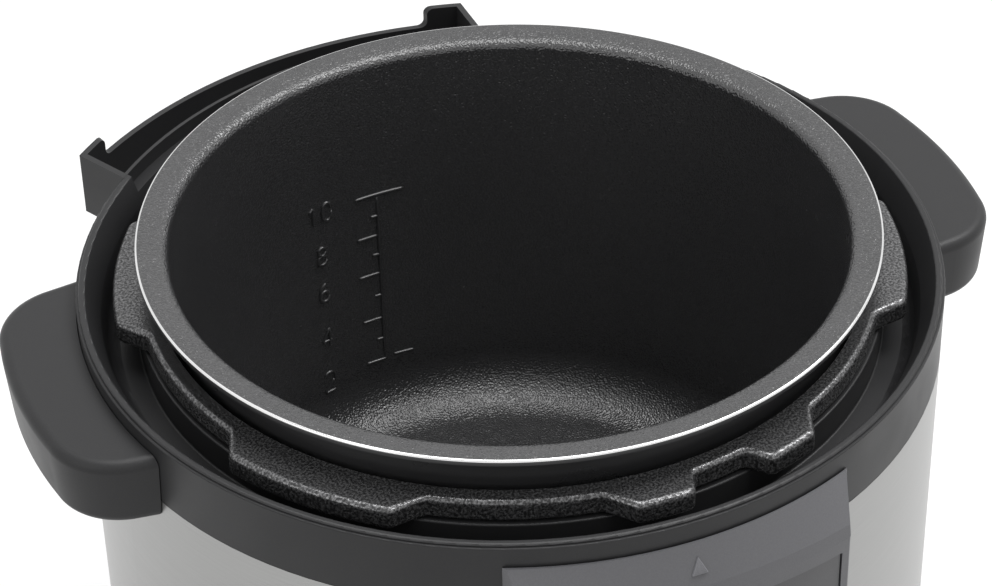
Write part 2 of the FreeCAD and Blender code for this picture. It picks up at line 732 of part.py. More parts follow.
def support_legs():
    """Bent sheet legs that stand on the base and carry the outer pot."""
    out = leg_radius()
    web = out - LEG_SHEET
    tab = out - LEG_TAB
    top = liner_z
    outline = [
        (tab, leg_z, 0), (out, leg_z, LEG_BEND), (out, top, LEG_BEND), (tab, top, 0),
        (tab, top - LEG_SHEET, 0), (web, top - LEG_SHEET, LEG_BEND - LEG_SHEET),
        (web, leg_z + LEG_SHEET, LEG_BEND - LEG_SHEET), (tab, leg_z + LEG_SHEET, 0),
    ]
    face = Part.Face(rounded_wire(outline, lambda u, v: FreeCAD.Vector(0, u, v)))
    leg = face.extrude(FreeCAD.Vector(LEG_WIDTH, 0, 0))
    leg.translate(FreeCAD.Vector(-LEG_WIDTH / 2, 0, 0))
    leg = leg.cut(disc(SCREW_RADIUS + THREAD_GAP, leg_z - CUT, top + CUT, plan(0, out - LEG_TAB / 2)))
    return group([turned(leg, angle) for angle in spread(LEG_COUNT, LEG_TURN)])


def leg_screws():
    """Screws up through the base into the legs, and up through the legs into the outer pot."""
    up = FreeCAD.Vector(0, 0, 1)
    screws = []
    for angle in spread(LEG_COUNT, LEG_TURN):
        place = polar(leg_radius() - LEG_TAB / 2, angle)
        screws.append(screw(place + up * floor_z, up, BASE_FLOOR + LEG_SHEET * 2))
        screws.append(screw(place + up * (liner_z - LEG_SHEET), up, LEG_SHEET + LINER_FLOOR))
    return group(screws)


def heating_plate():
    """Cast plate with a cast-in heater ring below, three posts and the sensor's hole."""
    hole = SENSOR_RADIUS + SENSOR_GAP
    body = revolved([
        (hole, heater_z, 0),
        (HEATER_RADIUS - HEATER_RIM, heater_z, 0),
        (HEATER_RADIUS, heater_top - HEATER_RIM, HEATER_RIM / 2),
        (HEATER_RADIUS, heater_top, HEATER_RIM / 4),
        (hole, heater_top, 0),
    ])
    tube = Part.makeTorus(HEATER_TUBE_PITCH, HEATER_TUBE, FreeCAD.Vector(0, 0, heater_z))
    posts = []
    for angle in spread(LEG_COUNT, 2 * LEG_TURN):
        place = polar(HEATER_POST_PITCH, angle)
        posts.append(disc(HEATER_POST_RADIUS, liner_floor_z, heater_top - HEATER_RIM, place))
    plate = joined([body, tube.cut(disc(HEATER_RADIUS, liner_z, liner_floor_z + SEAT_GAP))] + posts)
    for angle in spread(LEG_COUNT, 2 * LEG_TURN):
        place = polar(HEATER_POST_PITCH, angle)
        plate = plate.cut(disc(SCREW_RADIUS + THREAD_GAP, liner_z, heater_z + HEATER_RIM, place))
    for side in (-1, 1):
        place = polar(HEATER_TUBE_PITCH, 180 + side * TERMINAL_SPAN)
        plate = plate.cut(disc(TERMINAL_RADIUS, liner_z, heater_z, place))
    for side in (-1, 1):
        place = plan(side * cup_screw_radius(), 0)
        plate = plate.cut(disc(SCREW_RADIUS + THREAD_GAP, liner_z, heater_z + HEATER_RIM, place))
    return plate


def heater_screws():
    """Screws up through the outer pot's floor into the heater's posts."""
    up = FreeCAD.Vector(0, 0, 1)
    places = [polar(HEATER_POST_PITCH, angle, liner_z) for angle in spread(LEG_COUNT, 2 * LEG_TURN)]
    return group([screw(place, up, LINER_FLOOR + HEATER_POST + HEATER_RIM) for place in places])


def heater_terminals():
    """Ceramic bushes with flat tabs where the heater ring ends."""
    terminals = []
    low = heater_z - TERMINAL_LENGTH
    for side in (-1, 1):
        place = polar(HEATER_TUBE_PITCH, 180 + side * TERMINAL_SPAN)
        bush = disc(TERMINAL_RADIUS, low, heater_z, place)
        foot = [edge for edge in bush.Edges if edge.BoundBox.ZMax < low + SEAT_GAP]
        bush = bush.makeFillet(TERMINAL_RADIUS / 4, foot)
        half = TAB_WIDTH / 2
        thin = TAB_THICK / 2
        tab = box(place.x - half, place.x + half, place.y - thin, place.y + thin, low - TAB_LENGTH, low + thin)
        terminals.append(joined([bush, tab]))
    return group(terminals)


def cup_screw_radius():
    """Distance of the sensor cup's two screws from the axis."""
    return SENSOR_RADIUS + SENSOR_GAP + SENSOR_LIP + CUP_SHEET + CUP_FLANGE / 2


def sensor_cup():
    """Pressed cup under the heater that holds the sensor and its spring."""
    inside = SENSOR_RADIUS + SENSOR_GAP + SENSOR_LIP
    out = inside + CUP_SHEET
    cup = revolved([
        (0, cup_floor - CUP_SHEET, 0), (out, cup_floor - CUP_SHEET, CUP_SHEET),
        (out, heater_z - CUP_SHEET, 0),
        (out + CUP_FLANGE, heater_z - CUP_SHEET, 0), (out + CUP_FLANGE, heater_z, 0), (inside, heater_z, 0),
        (inside, cup_floor, 0), (0, cup_floor, 0),
    ])
    for side in (-1, 1):
        place = plan(side * cup_screw_radius(), 0)
        cup = cup.cut(disc(SCREW_RADIUS + SCREW_GAP, cup_floor, heater_z + CUT, place))
    return cup


def sensor_screws():
    """Screws that hold the cup to the heater's underside."""
    up = FreeCAD.Vector(0, 0, 1)
    seats = [FreeCAD.Vector(side * cup_screw_radius(), 0, heater_z - CUP_SHEET) for side in (-1, 1)]
    return group([screw(seat, up, CUP_SHEET + HEATER_RIM) for seat in seats])


def sensor_cap():
    """Sprung temperature sensor: a cap pressed on by the pot, with a lip that keeps it in the heater."""
    inside = SENSOR_RADIUS - SENSOR_WALL
    lip = SENSOR_RADIUS + SENSOR_LIP
    return revolved([
        (0, heater_top, 0), (SENSOR_RADIUS, heater_top, SENSOR_WALL),
        (SENSOR_RADIUS, sensor_low + SENSOR_WALL, 0),
        (lip, sensor_low + SENSOR_WALL, 0), (lip, sensor_low, 0), (inside, sensor_low, 0),
        (inside, heater_top - SENSOR_WALL, 0), (0, heater_top - SENSOR_WALL, 0),
    ])


def sensor_spring():
    """Coil spring between cup and cap: half rings, each tilted so that it rises by half a turn's pitch."""
    low = cup_floor + SPRING_WIRE / 2 + SEAT_GAP
    high = heater_top - SENSOR_WALL - SPRING_WIRE / 2 - SEAT_GAP
    rise = (high - low) / (2 * SPRING_TURNS)
    halves = []
    for index in range(2 * SPRING_TURNS):
        side = 1 if index % 2 == 0 else -1
        start = FreeCAD.Vector(side * SPRING_RADIUS, 0, low + index * rise)
        end = FreeCAD.Vector(-side * SPRING_RADIUS, 0, low + (index + 1) * rise)
        wire = Part.Circle(start, FreeCAD.Vector(0, 1, 0), SPRING_WIRE / 2).toShape()
        axis = (end - start).cross(FreeCAD.Vector(0, -side, 0))
        halves.append(Part.Face(Part.Wire(wire)).revolve((start + end) / 2, axis, 180))
    return joined(halves)


def pressure_switch():
    """Snap switch with a lever, hung under the outer pot's floor."""
    top = liner_z - SWITCH_DROP
    foot = top - SWITCH_HEIGHT
    half = SWITCH_LENGTH / 2
    body = box(-half, half, 0, SWITCH_WIDTH, foot, top)
    across = [edge for edge in body.Edges if edge.BoundBox.YLength > SWITCH_WIDTH / 2]
    body = body.makeFillet(SWITCH_ROUND, across)
    tip = liner_z - LEVER_GAP
    lever = front_prism([
        (SWITCH_ROUND - half, top, 0), (SWITCH_ROUND + LEVER_SHEET - half, top, 0),
        (half, tip - LEVER_SHEET, 0), (half, tip, 0),
    ], SWITCH_WIDTH / 2 - LEVER_WIDTH / 2, SWITCH_WIDTH / 2 + LEVER_WIDTH / 2)
    tabs = []
    for x in (-SWITCH_LENGTH / 3, 0, SWITCH_LENGTH / 3):
        tabs.append(box(x - TAB_THICK / 2, x + TAB_THICK / 2, SWITCH_WIDTH / 2 - TAB_WIDTH / 2,
                        SWITCH_WIDTH / 2 + TAB_WIDTH / 2, foot - TAB_LENGTH, foot + TAB_THICK))
    switch = joined([body, lever] + tabs)
    switch.translate(FreeCAD.Vector(0, SWITCH_PITCH, 0))
    return turned(switch, SWITCH_TURN)


def switch_bracket():
    """Bent plate that holds the pressure switch to the outer pot's floor."""
    back = SWITCH_PITCH + SWITCH_WIDTH
    low = liner_z - SWITCH_DROP - SWITCH_HEIGHT
    outline = [
        (back, low, 0), (back + CLIP_SHEET, low, 0), (back + CLIP_SHEET, liner_z - CLIP_SHEET, 0),
        (back + SWITCH_WIDTH, liner_z - CLIP_SHEET, 0), (back + SWITCH_WIDTH, liner_z, 0),
        (back, liner_z, CLIP_SHEET),
    ]
    face = Part.Face(rounded_wire(outline, lambda u, v: FreeCAD.Vector(-SWITCH_LENGTH / 2, u, v)))
    return turned(face.extrude(FreeCAD.Vector(SWITCH_LENGTH, 0, 0)), SWITCH_TURN)


def thermal_fuse():
    """Thermal fuse under the outer pot's floor, with its two wire ends."""
    z = liner_z - CLIP_SHEET - FUSE_RADIUS
    half = FUSE_LENGTH / 2
    body = rod(FUSE_RADIUS, FreeCAD.Vector(-half, FUSE_PITCH, z), FreeCAD.Vector(half, FUSE_PITCH, z))
    end = FreeCAD.Vector(FUSE_LENGTH, FUSE_PITCH, z)
    wire = rod(FUSE_RADIUS / 5, FreeCAD.Vector(-FUSE_LENGTH, FUSE_PITCH, z), end)
    return turned(joined([body, wire]), FUSE_TURN)


def fuse_clip():
    """Spring clip that wraps the thermal fuse and lies against the outer pot's floor."""
    z = liner_z - CLIP_SHEET - FUSE_RADIUS
    quarter = FUSE_LENGTH / 4
    inner = FUSE_RADIUS + THREAD_GAP
    start = FreeCAD.Vector(-quarter, FUSE_PITCH, z)
    end = FreeCAD.Vector(quarter, FUSE_PITCH, z)
    wrap = rod(inner + CLIP_SHEET - THREAD_GAP, start, end).cut(rod(inner, start, end))
    near = FUSE_PITCH + FUSE_RADIUS / 2
    tab = box(-quarter, quarter, near, FUSE_PITCH + 4 * FUSE_RADIUS, liner_z - CLIP_SHEET, liner_z)
    clip = joined([wrap, tab.cut(rod(inner, start, end))])
    return turned(clip, FUSE_TURN)


def arc_between(radius, axis_y, x0, x1, z):
    """Front arc about an upright axis at (0, axis_y), from x0 to x1."""
    points = [FreeCAD.Vector(x, axis_y - sqrt(radius ** 2 - x ** 2), z) for x in (x0, (x0 + x1) / 2, x1)]
    return Part.Arc(*points).toShape()


def panel_outline(z, face_radius, axis_y, tip):
    """Plan of the panel between the shell and its front face at one height."""
    back = arc_between(panel_back, 0, -PANEL_HALF_WIDTH, PANEL_HALF_WIDTH, z)
    front = arc_between(face_radius, axis_y, -tip, tip, z)
    left = Part.LineSegment(back.Vertexes[0].Point, front.Vertexes[0].Point).toShape()
    right = Part.LineSegment(back.Vertexes[-1].Point, front.Vertexes[-1].Point).toShape()
    return Part.Wire([back, right, front, left])


def panel_body():
    """Outside of the bezel: a band that grows out of the collar, a steep strip, a flat front and a chin."""
    thin_face = panel_back + PANEL_EDGE
    thin_tip = PANEL_HALF_WIDTH - PANEL_EDGE
    brow_face = PANEL_FACE_RADIUS - PANEL_STRIP_FALL
    lip = panel_outline(panel_top, thin_face, 0, thin_tip)
    brow = panel_outline(panel_edge_z, brow_face, panel_axis_y, PANEL_TIP_HALF_WIDTH)
    shoulder = panel_outline(panel_strip_z, PANEL_FACE_RADIUS, panel_axis_y, PANEL_TIP_HALF_WIDTH)
    jaw = panel_outline(panel_chin_z, PANEL_FACE_RADIUS, panel_axis_y, PANEL_TIP_HALF_WIDTH)
    chin = panel_outline(panel_bottom, thin_face, 0, thin_tip)
    levels = [chin, jaw, shoulder, brow, lip]
    return joined([Part.makeLoft([low, high], True, True) for low, high in zip(levels, levels[1:])])


def panel_slice(face, back, corners):
    """Part of the panel's curved front between two radii, inside an outline seen from the front."""
    slab = Part.makeCylinder(face, CUT * 20, FreeCAD.Vector(0, panel_axis_y, -CUT))
    slab = slab.cut(Part.makeCylinder(back, CUT * 20, FreeCAD.Vector(0, panel_axis_y, -CUT)))
    return slab.common(front_prism(corners, panel_axis_y - PANEL_FACE_RADIUS - CUT, panel_axis_y))


def board_holes():
    """Screw places of the control board, seen from the front."""
    half = board_half - BOSS_INSET + BOSS_RADIUS / 2
    rows = (overlay_bottom + BOSS_INSET, overlay_top - BOSS_INSET)
    return [(side * half, z) for side in (-1, 1) for z in rows]


def front_edge(edge):
    """True for the upright side edges of the bezel's front."""
    tall = edge.BoundBox.ZLength > panel_strip_z - panel_chin_z - PANEL_SEAT
    side_y = -sqrt(panel_back ** 2 - PANEL_HALF_WIDTH ** 2)
    return tall and edge.BoundBox.YMax < side_y - PANEL_EDGE


def panel_frame():
    """Bezel: recess and ledge for the overlay, open back, screw bosses and a raised mark on its band."""
    frame = panel_body()
    frame = frame.makeFillet(PANEL_ROUND, [edge for edge in frame.Edges if front_edge(edge)])
    recess = rectangle(-overlay_half, overlay_half, overlay_bottom, overlay_top, OVERLAY_GAP)
    frame = frame.cut(panel_slice(PANEL_FACE_RADIUS + CUT, overlay_back, recess))
    window = rectangle(OVERLAY_LEDGE - overlay_half, overlay_half - OVERLAY_LEDGE,
                       overlay_bottom + OVERLAY_LEDGE, overlay_top - OVERLAY_LEDGE, OVERLAY_LEDGE)
    frame = frame.cut(panel_slice(PANEL_FACE_RADIUS + CUT, PANEL_FACE_RADIUS - 2 * CUT, window))
    half = PANEL_HALF_WIDTH - CUTOUT_MARGIN
    rear = rectangle(-half, half, panel_chin_z, overlay_top + OVERLAY_INSET, OVERLAY_GAP)
    frame = frame.cut(panel_slice(overlay_back - PANEL_WALL, PANEL_FACE_RADIUS - 2 * CUT, rear))
    for x, z in board_holes():
        seat = FreeCAD.Vector(x, board_y, z)
        face_y = panel_axis_y - sqrt((overlay_back - PANEL_WALL / 2) ** 2 - x ** 2)
        boss = rod(BOSS_RADIUS, seat, FreeCAD.Vector(x, face_y, z))
        bite = rod(SCREW_RADIUS + THREAD_GAP, seat, FreeCAD.Vector(x, face_y + PANEL_WALL / 2, z))
        frame = joined([frame, boss]).cut(bite)
    return joined([frame, raised_mark()])


def raised_mark():
    """Small triangle on the band at the middle, pointing up, standing a little proud of the slope."""
    low_y = panel_axis_y - PANEL_FACE_RADIUS + PANEL_STRIP_FALL
    high_y = -panel_back - PANEL_EDGE
    centre = panel_edge_z + PANEL_BAND / 2
    half = MARK_SIZE / 2
    corners = [(-half, centre - half, 0), (half, centre - half, 0), (0, centre + half, 0)]
    block = front_prism(corners, low_y - MARK_RISE, high_y)
    outline = [
        (low_y - MARK_RISE, panel_edge_z, 0), (high_y - MARK_RISE, panel_top, 0),
        (high_y + MARK_RISE, panel_top, 0), (low_y + MARK_RISE, panel_edge_z, 0),
    ]
    face = Part.Face(rounded_wire(outline, lambda u, v: FreeCAD.Vector(-MARK_SIZE, u, v)))
    return block.common(face.extrude(FreeCAD.Vector(2 * MARK_SIZE, 0, 0)))


def key_centre(row, side):
    """Middle of one key, across and up."""
    return side * KEY_SPACING / 2, key_top - key_pitch * (2 * row + 1) / 2


def key_outline(row, side, margin):
    """Outline of one key, grown by a margin, seen from the front."""
    x, z = key_centre(row, side)
    half = KEY_WIDTH / 2 + margin
    rise = KEY_HEIGHT / 2 + margin
    return rectangle(x - half, x + half, z - rise, z + rise, KEY_CORNER + margin)


def key_places():
    """Row, side and name of each key."""
    return [(row, side, "key_%s_%d" % (word, row + 1)) for row in range(KEY_ROWS)
            for side, word in ((-1, "left"), (1, "right"))]


def window_outline(margin):
    """Outline of the display window, grown by a margin."""
    half = WINDOW_WIDTH / 2 + margin
    return rectangle(-half, half, window_bottom - margin, window_top + margin, WINDOW_CORNER + margin)


def control_overlay():
    """Curved front plate with openings for the display and the keys."""
    edge = overlay_half - OVERLAY_GAP
    corners = rectangle(-edge, edge, overlay_bottom + OVERLAY_GAP, overlay_top - OVERLAY_GAP, OVERLAY_GAP)
    plate = panel_slice(overlay_face, overlay_back, corners)
    holes = [window_outline(THREAD_GAP)]
    holes += [key_outline(row, side, KEY_GAP) for row, side, _ in key_places()]
    for hole in holes:
        plate = plate.cut(panel_slice(PANEL_FACE_RADIUS + CUT, overlay_back - CUT, hole))
    return plate


def display_window():
    """Clear curved pane set in the overlay."""
    return panel_slice(overlay_face, overlay_back, window_outline(0))


def display_module():
    """Display block on the control board, close behind the window."""
    half = WINDOW_WIDTH / 2 - MODULE_MARGIN
    edge_y = panel_axis_y - sqrt((overlay_back - MODULE_GAP) ** 2 - half ** 2)
    return box(-half, half, edge_y, board_y, window_bottom + MODULE_MARGIN, window_top - MODULE_MARGIN)


def key(row, side):
    """Moulded key: cap through the overlay, flange behind it, stem towards its switch."""
    flange_face = overlay_back - KEY_FLOAT
    flange_back = flange_face - KEY_FLANGE_THICK
    cap = panel_slice(overlay_face + KEY_RISE, flange_face - KEY_FLANGE_THICK / 2, key_outline(row, side, 0))
    flange = panel_slice(flange_face, flange_back, key_outline(row, side, KEY_FLANGE))
    x, z = key_centre(row, side)
    end = board_y - SWITCH_BODY_HEIGHT - SWITCH_PLUNGER_HEIGHT - KEY_TRAVEL - KEY_FLOAT
    start = panel_axis_y - sqrt((flange_back + KEY_FLANGE_THICK / 2) ** 2 - x ** 2)
    return joined([cap, flange, rod(KEY_STEM, FreeCAD.Vector(x, start, z), FreeCAD.Vector(x, end, z))])


def control_board():
    """Flat board behind the overlay, on the frame's bosses."""
    plate = box(-board_half, board_half, board_y, board_y + BOARD_THICK,
                overlay_bottom + BOARD_MARGIN, overlay_top - BOARD_MARGIN)
    for x, z in board_holes():
        near = FreeCAD.Vector(x, board_y - CUT, z)
        hole = rod(SCREW_RADIUS + SCREW_GAP, near, FreeCAD.Vector(x, board_y + CUT, z))
        plate = plate.cut(hole)
    return plate


def tact_switches():
    """One small switch per key on the control board."""
    switches = []
    half = SWITCH_BODY / 2
    front = board_y - SWITCH_BODY_HEIGHT
    for row, side, _ in key_places():
        x, z = key_centre(row, side)
        body = box(x - half, x + half, front, board_y, z - half, z + half)
        tip = FreeCAD.Vector(x, front - SWITCH_PLUNGER_HEIGHT, z)
        switches.append(joined([body, rod(SWITCH_PLUNGER, FreeCAD.Vector(x, front, z), tip)]))
    return group(switches)


def power_board_holes():
    """Screw places of the power board on the base."""
    half = POWER_BOARD_LENGTH / 2 - POWER_BOARD_MARGIN
    back = POWER_BOARD_BACK - POWER_BOARD_MARGIN
    front = POWER_BOARD_BACK - POWER_BOARD_WIDTH + POWER_BOARD_MARGIN
    return [(x, y) for x in (-half, half) for y in (front, back)]


def board_screws():
    """Screws of the control board and of the power board."""
    screws = []
    for x, z in board_holes():
        seat = FreeCAD.Vector(x, board_y + BOARD_THICK, z)
        screws.append(screw(seat, FreeCAD.Vector(0, -1, 0), BOARD_THICK + BOSS_RADIUS))
    for x, y in power_board_holes():
        seat = FreeCAD.Vector(x, y, leg_z + STANDOFF + BOARD_THICK)
        screws.append(screw(seat, FreeCAD.Vector(0, 0, -1), BOARD_THICK + BOSS_RADIUS))
    return group(screws)


def power_board():
    """Power board on four posts of the base."""
    half = POWER_BOARD_LENGTH / 2
    z = leg_z + STANDOFF
    plate = box(-half, half, POWER_BOARD_BACK - POWER_BOARD_WIDTH, POWER_BOARD_BACK, z, z + BOARD_THICK)
    for x, y in power_board_holes():
        plate = plate.cut(disc(SCREW_RADIUS + SCREW_GAP, z - CUT, z + CUT, plan(x, y)))
    return plate


def power_board_parts():
    """Relay, transformer, capacitor and terminal block of the power board."""
    z = leg_z + STANDOFF + BOARD_THICK
    middle = POWER_BOARD_BACK - POWER_BOARD_WIDTH / 2

    def block(x, y, length, width, low, high):
        return box(x - length / 2, x + length / 2, y - width / 2, y + width / 2, low, high)

    relay = block(-RELAY_OUT, middle, RELAY_LENGTH, RELAY_WIDTH, z, z + RELAY_HEIGHT)
    core = block(0, middle, CORE_LENGTH, CORE_WIDTH, z, z + CORE_HEIGHT)
    coil = block(0, middle, COIL_LENGTH, CORE_WIDTH, z + CORE_HEIGHT, z + CORE_HEIGHT + COIL_HEIGHT)
    capacitor = disc(CAPACITOR_RADIUS, z, z + CAPACITOR_HEIGHT, plan(RELAY_OUT, middle + CAPACITOR_BACK))
    terminals = block(RELAY_OUT, middle - CAPACITOR_BACK, BLOCK_LENGTH, BLOCK_WIDTH, z, z + BLOCK_HEIGHT)
    return group([relay, joined([core, coil]), capacitor, terminals])


def power_inlet():
    """Three-pin inlet set in the recess at the back of the base."""
    face = base_radius - INLET_POCKET_DEPTH
    half = INLET_WIDTH / 2
    rise = INLET_HEIGHT / 2
    edge = INLET_FLANGE_MARGIN
    body = box(-half, half, face - INLET_DEPTH, face, INLET_CENTRE - rise, INLET_CENTRE + rise)
    rim = rectangle(-half - edge, half + edge, INLET_CENTRE - rise - edge, INLET_CENTRE + rise + edge, edge)
    flange = front_prism(rim, face, face + INLET_FLANGE)
    slope = INLET_HEIGHT / 4
    inner = half - INLET_WALL
    low = INLET_CENTRE - rise + INLET_WALL
    high = INLET_CENTRE + rise - INLET_WALL
    socket = [
        (-inner, low), (inner, low), (inner, high - slope),
        (inner - slope, high), (slope - inner, high), (-inner, high - slope),
    ]
    hollow = front_prism([(u, v, INLET_WALL / 2) for u, v in socket], face - INLET_DEPTH + 2 * INLET_WALL,
                         face + INLET_FLANGE + CUT)
    inlet = joined([body, flange]).cut(hollow)
    for pin in inlet_blades():
        inlet = inlet.cut(pin)
    return inlet


def inlet_blades():
    """Contact blades of the inlet, each with a tail behind it."""
    floor = base_radius - INLET_POCKET_DEPTH - INLET_DEPTH + 2 * INLET_WALL
    blades = []
    for column, rise in ((-1, -1), (0, 1), (1, -1)):
        x = column * PIN_PITCH
        z = INLET_CENTRE + PIN_LIFT + rise * PIN_WIDTH / 2
        tail = floor - 2 * INLET_WALL - PIN_TAIL
        blades.append(box(x - PIN_THICK / 2, x + PIN_THICK / 2, tail, floor + PIN_LENGTH,
                          z - PIN_WIDTH / 2, z + PIN_WIDTH / 2))
    return blades


def build():
    """Make every piece and write it under its own name."""
    os.makedirs("parts", exist_ok=True)
    pieces = [
        inner_pot, outer_pot, upper_collar, steel_shell, base_pan, rubber_feet, support_legs, leg_screws,
        handle_screws, heating_plate, heater_screws, heater_terminals, sensor_cap, sensor_spring, sensor_cup,
        sensor_screws, pressure_switch, switch_bracket, thermal_fuse, fuse_clip, panel_frame, control_overlay,
        display_window, display_module, control_board, tact_switches, board_screws, power_board,
        power_board_parts, power_inlet,
    ]
    for piece in pieces:
        save(piece.__name__, piece())
    save("left_handle", handle(-1))
    save("right_handle", handle(1))
    save("inlet_pins", group(inlet_blades()))
    for row, side, name in key_places():
        save(name, key(row, side))


build()
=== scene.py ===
import logging
from collections.abc import Callable
from dataclasses import dataclass, field
from enum import Enum
from math import cos, pi, radians, sin

import bmesh
import bpy
import numpy as np
from mathutils import Matrix, Vector


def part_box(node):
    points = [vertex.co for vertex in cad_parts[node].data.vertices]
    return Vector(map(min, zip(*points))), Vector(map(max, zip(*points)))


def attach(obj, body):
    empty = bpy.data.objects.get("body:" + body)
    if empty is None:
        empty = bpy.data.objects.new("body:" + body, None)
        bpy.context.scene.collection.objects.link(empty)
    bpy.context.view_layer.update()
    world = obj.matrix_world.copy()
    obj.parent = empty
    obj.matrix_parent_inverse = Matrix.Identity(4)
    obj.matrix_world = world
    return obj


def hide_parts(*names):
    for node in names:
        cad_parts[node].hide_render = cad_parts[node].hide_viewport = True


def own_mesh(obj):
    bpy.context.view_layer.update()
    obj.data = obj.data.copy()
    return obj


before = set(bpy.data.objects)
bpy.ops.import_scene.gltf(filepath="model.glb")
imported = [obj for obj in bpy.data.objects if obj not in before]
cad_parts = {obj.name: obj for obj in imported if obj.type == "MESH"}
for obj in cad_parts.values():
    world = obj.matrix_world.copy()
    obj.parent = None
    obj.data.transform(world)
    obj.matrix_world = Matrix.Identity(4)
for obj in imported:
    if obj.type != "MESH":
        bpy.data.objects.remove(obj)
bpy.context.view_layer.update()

logging.basicConfig(level=logging.INFO, format="%(name)s: %(message)s")
log = logging.getLogger("cooker")

MM = 0.001
MERGE_GAP = 1e-7            # Points closer than this are one, in metres
CRISP_ANGLE = radians(40)   # Edges that turn by more stay crisp
TURN_STEPS = 360            # Steps round a turned piece
RIDGE_SIDES = 12            # Steps round a ridge or a wire
PAD_STEPS = 40              # Steps round a pad's outline
STROKE_POINTS = 25          # Points along a stroke of the scale
FIGURE_HEIGHT = 1.6         # Height of a figure in a box one unit wide

Node = bpy.types.Node
Piece = bpy.types.Object
Socket = bpy.types.NodeSocket
Tree = bpy.types.NodeTree
Pair = tuple[float, float]
Spot = tuple[float, float, float]


def linear(colour: str) -> tuple[float, float, float, float]:
    """Turn an sRGB hex colour into linear light.

    Args:
        colour: Six hex digits after a hash sign.

    Returns:
        Red, green, blue and an alpha of one.
    """
    srgb = np.array([int(colour[i:i + 2], 16) for i in (1, 3, 5)]) / 255.0
    rgb = np.where(srgb <= 0.04045, srgb / 12.92, ((srgb + 0.055) / 1.055) ** 2.4)
    return (float(rgb[0]), float(rgb[1]), float(rgb[2]), 1.0)


def cells(size_mm: float) -> float:
    """Texture scale whose cells are as wide as a size in millimetres."""
    return 1.0 / (size_mm * MM)


def add_node(tree: Tree, kind: str, settings: dict[str, object],
             inputs: dict[object, object]) -> Node:
    """Add one node, set its properties and fill its sockets.

    Args:
        tree: Node tree that gets the node.
        kind: Blender's type name of the node.
        settings: Properties of the node by name.
        inputs: Sockets by name or index, each with a constant or with an output to link from.

    Returns:
        The new node.
    """
    node = tree.nodes.new(kind)
    for name, value in settings.items():
        setattr(node, name, value)
    for name, value in inputs.items():
        if isinstance(value, Socket):
            tree.links.new(value, node.inputs[name])
        else:
            node.inputs[name].default_value = value
    return node


class Brushing(Enum):
    """Way that a brushed metal's lines run: the stretch of their pattern in X, Y and Z."""

    LEVEL = (0.012, 0.012, 1.0)
    ALONG_X = (0.02, 1.0, 1.0)


@dataclass(frozen=True)
class Finish:
    """Look of one real material: an even shader that kinds of surface add their pattern to."""

    name: str
    colour: str
    roughness: float
    metallic: float = 0.0
    ior: float = 1.5

    def material(self) -> bpy.types.Material:
        """Make the material once and share it.

        Returns:
            The material under this finish's name.
        """
        made = bpy.data.materials.get(self.name)
        if made is not None:
            return made
        made = bpy.data.materials.new(self.name)
        made.use_nodes = True
        tree = made.node_tree
        tree.nodes.clear()
        place = add_node(tree, "ShaderNodeTexCoord", {}, {}).outputs["Object"]
        shader = add_node(tree, "ShaderNodeBsdfPrincipled", {}, {
            "Base Color": linear(self.colour), "Roughness": self.roughness,
            "Metallic": self.metallic, "IOR": self.ior})
        self.pattern(tree, place, shader)
        add_node(tree, "ShaderNodeOutputMaterial", {}, {"Surface": shader.outputs["BSDF"]})
        return made

    def pattern(self, tree: Tree, place: Socket, shader: Node) -> None:
        """Link the surface's own pattern into the shader; an even surface has none."""


@dataclass(frozen=True)
class Patterned(Finish):
    """Surface whose one noise gives both its tint and its relief.

    The tint runs from the finish's colour to the pale one as the noise crosses the span.
    """

    pale: str = "#808080"
    height_mm: float = 0.01
    span: Pair = (0.3, 0.7)

    def emboss(self, tree: Tree, noise: Socket, shader: Node) -> None:
        """Tint and raise the surface by a noise.

        Args:
            tree: Node tree of the material.
            noise: The noise, from 0 to 1.
            shader: Shader that gets both.
        """
        tint = add_node(tree, "ShaderNodeValToRGB", {}, {"Fac": noise})
        for stop, at, colour in zip(tint.color_ramp.elements, self.span, (self.colour, self.pale)):
            stop.position = at
            stop.color = linear(colour)
        bump = add_node(tree, "ShaderNodeBump", {}, {
            "Height": noise, "Strength": 1.0, "Distance": self.height_mm * MM})
        tree.links.new(tint.outputs["Color"], shader.inputs["Base Color"])
        tree.links.new(bump.outputs["Normal"], shader.inputs["Normal"])


@dataclass(frozen=True)
class Grained(Patterned):
    """Surface with an even grain, such as spark-eroded plastic, rubber or a sprayed coat."""

    span: Pair = (0.3, 0.75)
    grain_mm: float = 0.5
    detail: float = 2.0
    patch_mm: float = 30.0
    gloss_change: float = 0.06

    def pattern(self, tree: Tree, place: Socket, shader: Node) -> None:
        """Tint and relief from a fine noise, gloss from a slow one.

        Args:
            tree: Node tree of the material.
            place: Object coordinates.
            shader: Shader that gets the pattern.
        """
        grain = add_node(tree, "ShaderNodeTexNoise", {}, {
            "Vector": place, "Scale": cells(self.grain_mm), "Detail": self.detail,
            "Roughness": 0.6})
        patch = add_node(tree, "ShaderNodeTexNoise", {}, {
            "Vector": place, "Scale": cells(self.patch_mm), "Detail": 3.0})
        gloss = add_node(tree, "ShaderNodeMapRange", {}, {
            "Value": patch.outputs["Fac"], "From Min": 0.3, "From Max": 0.7,
            "To Min": self.roughness - self.gloss_change,
            "To Max": self.roughness + self.gloss_change})
        self.emboss(tree, grain.outputs["Fac"], shader)
        tree.links.new(gloss.outputs["Result"], shader.inputs["Roughness"])


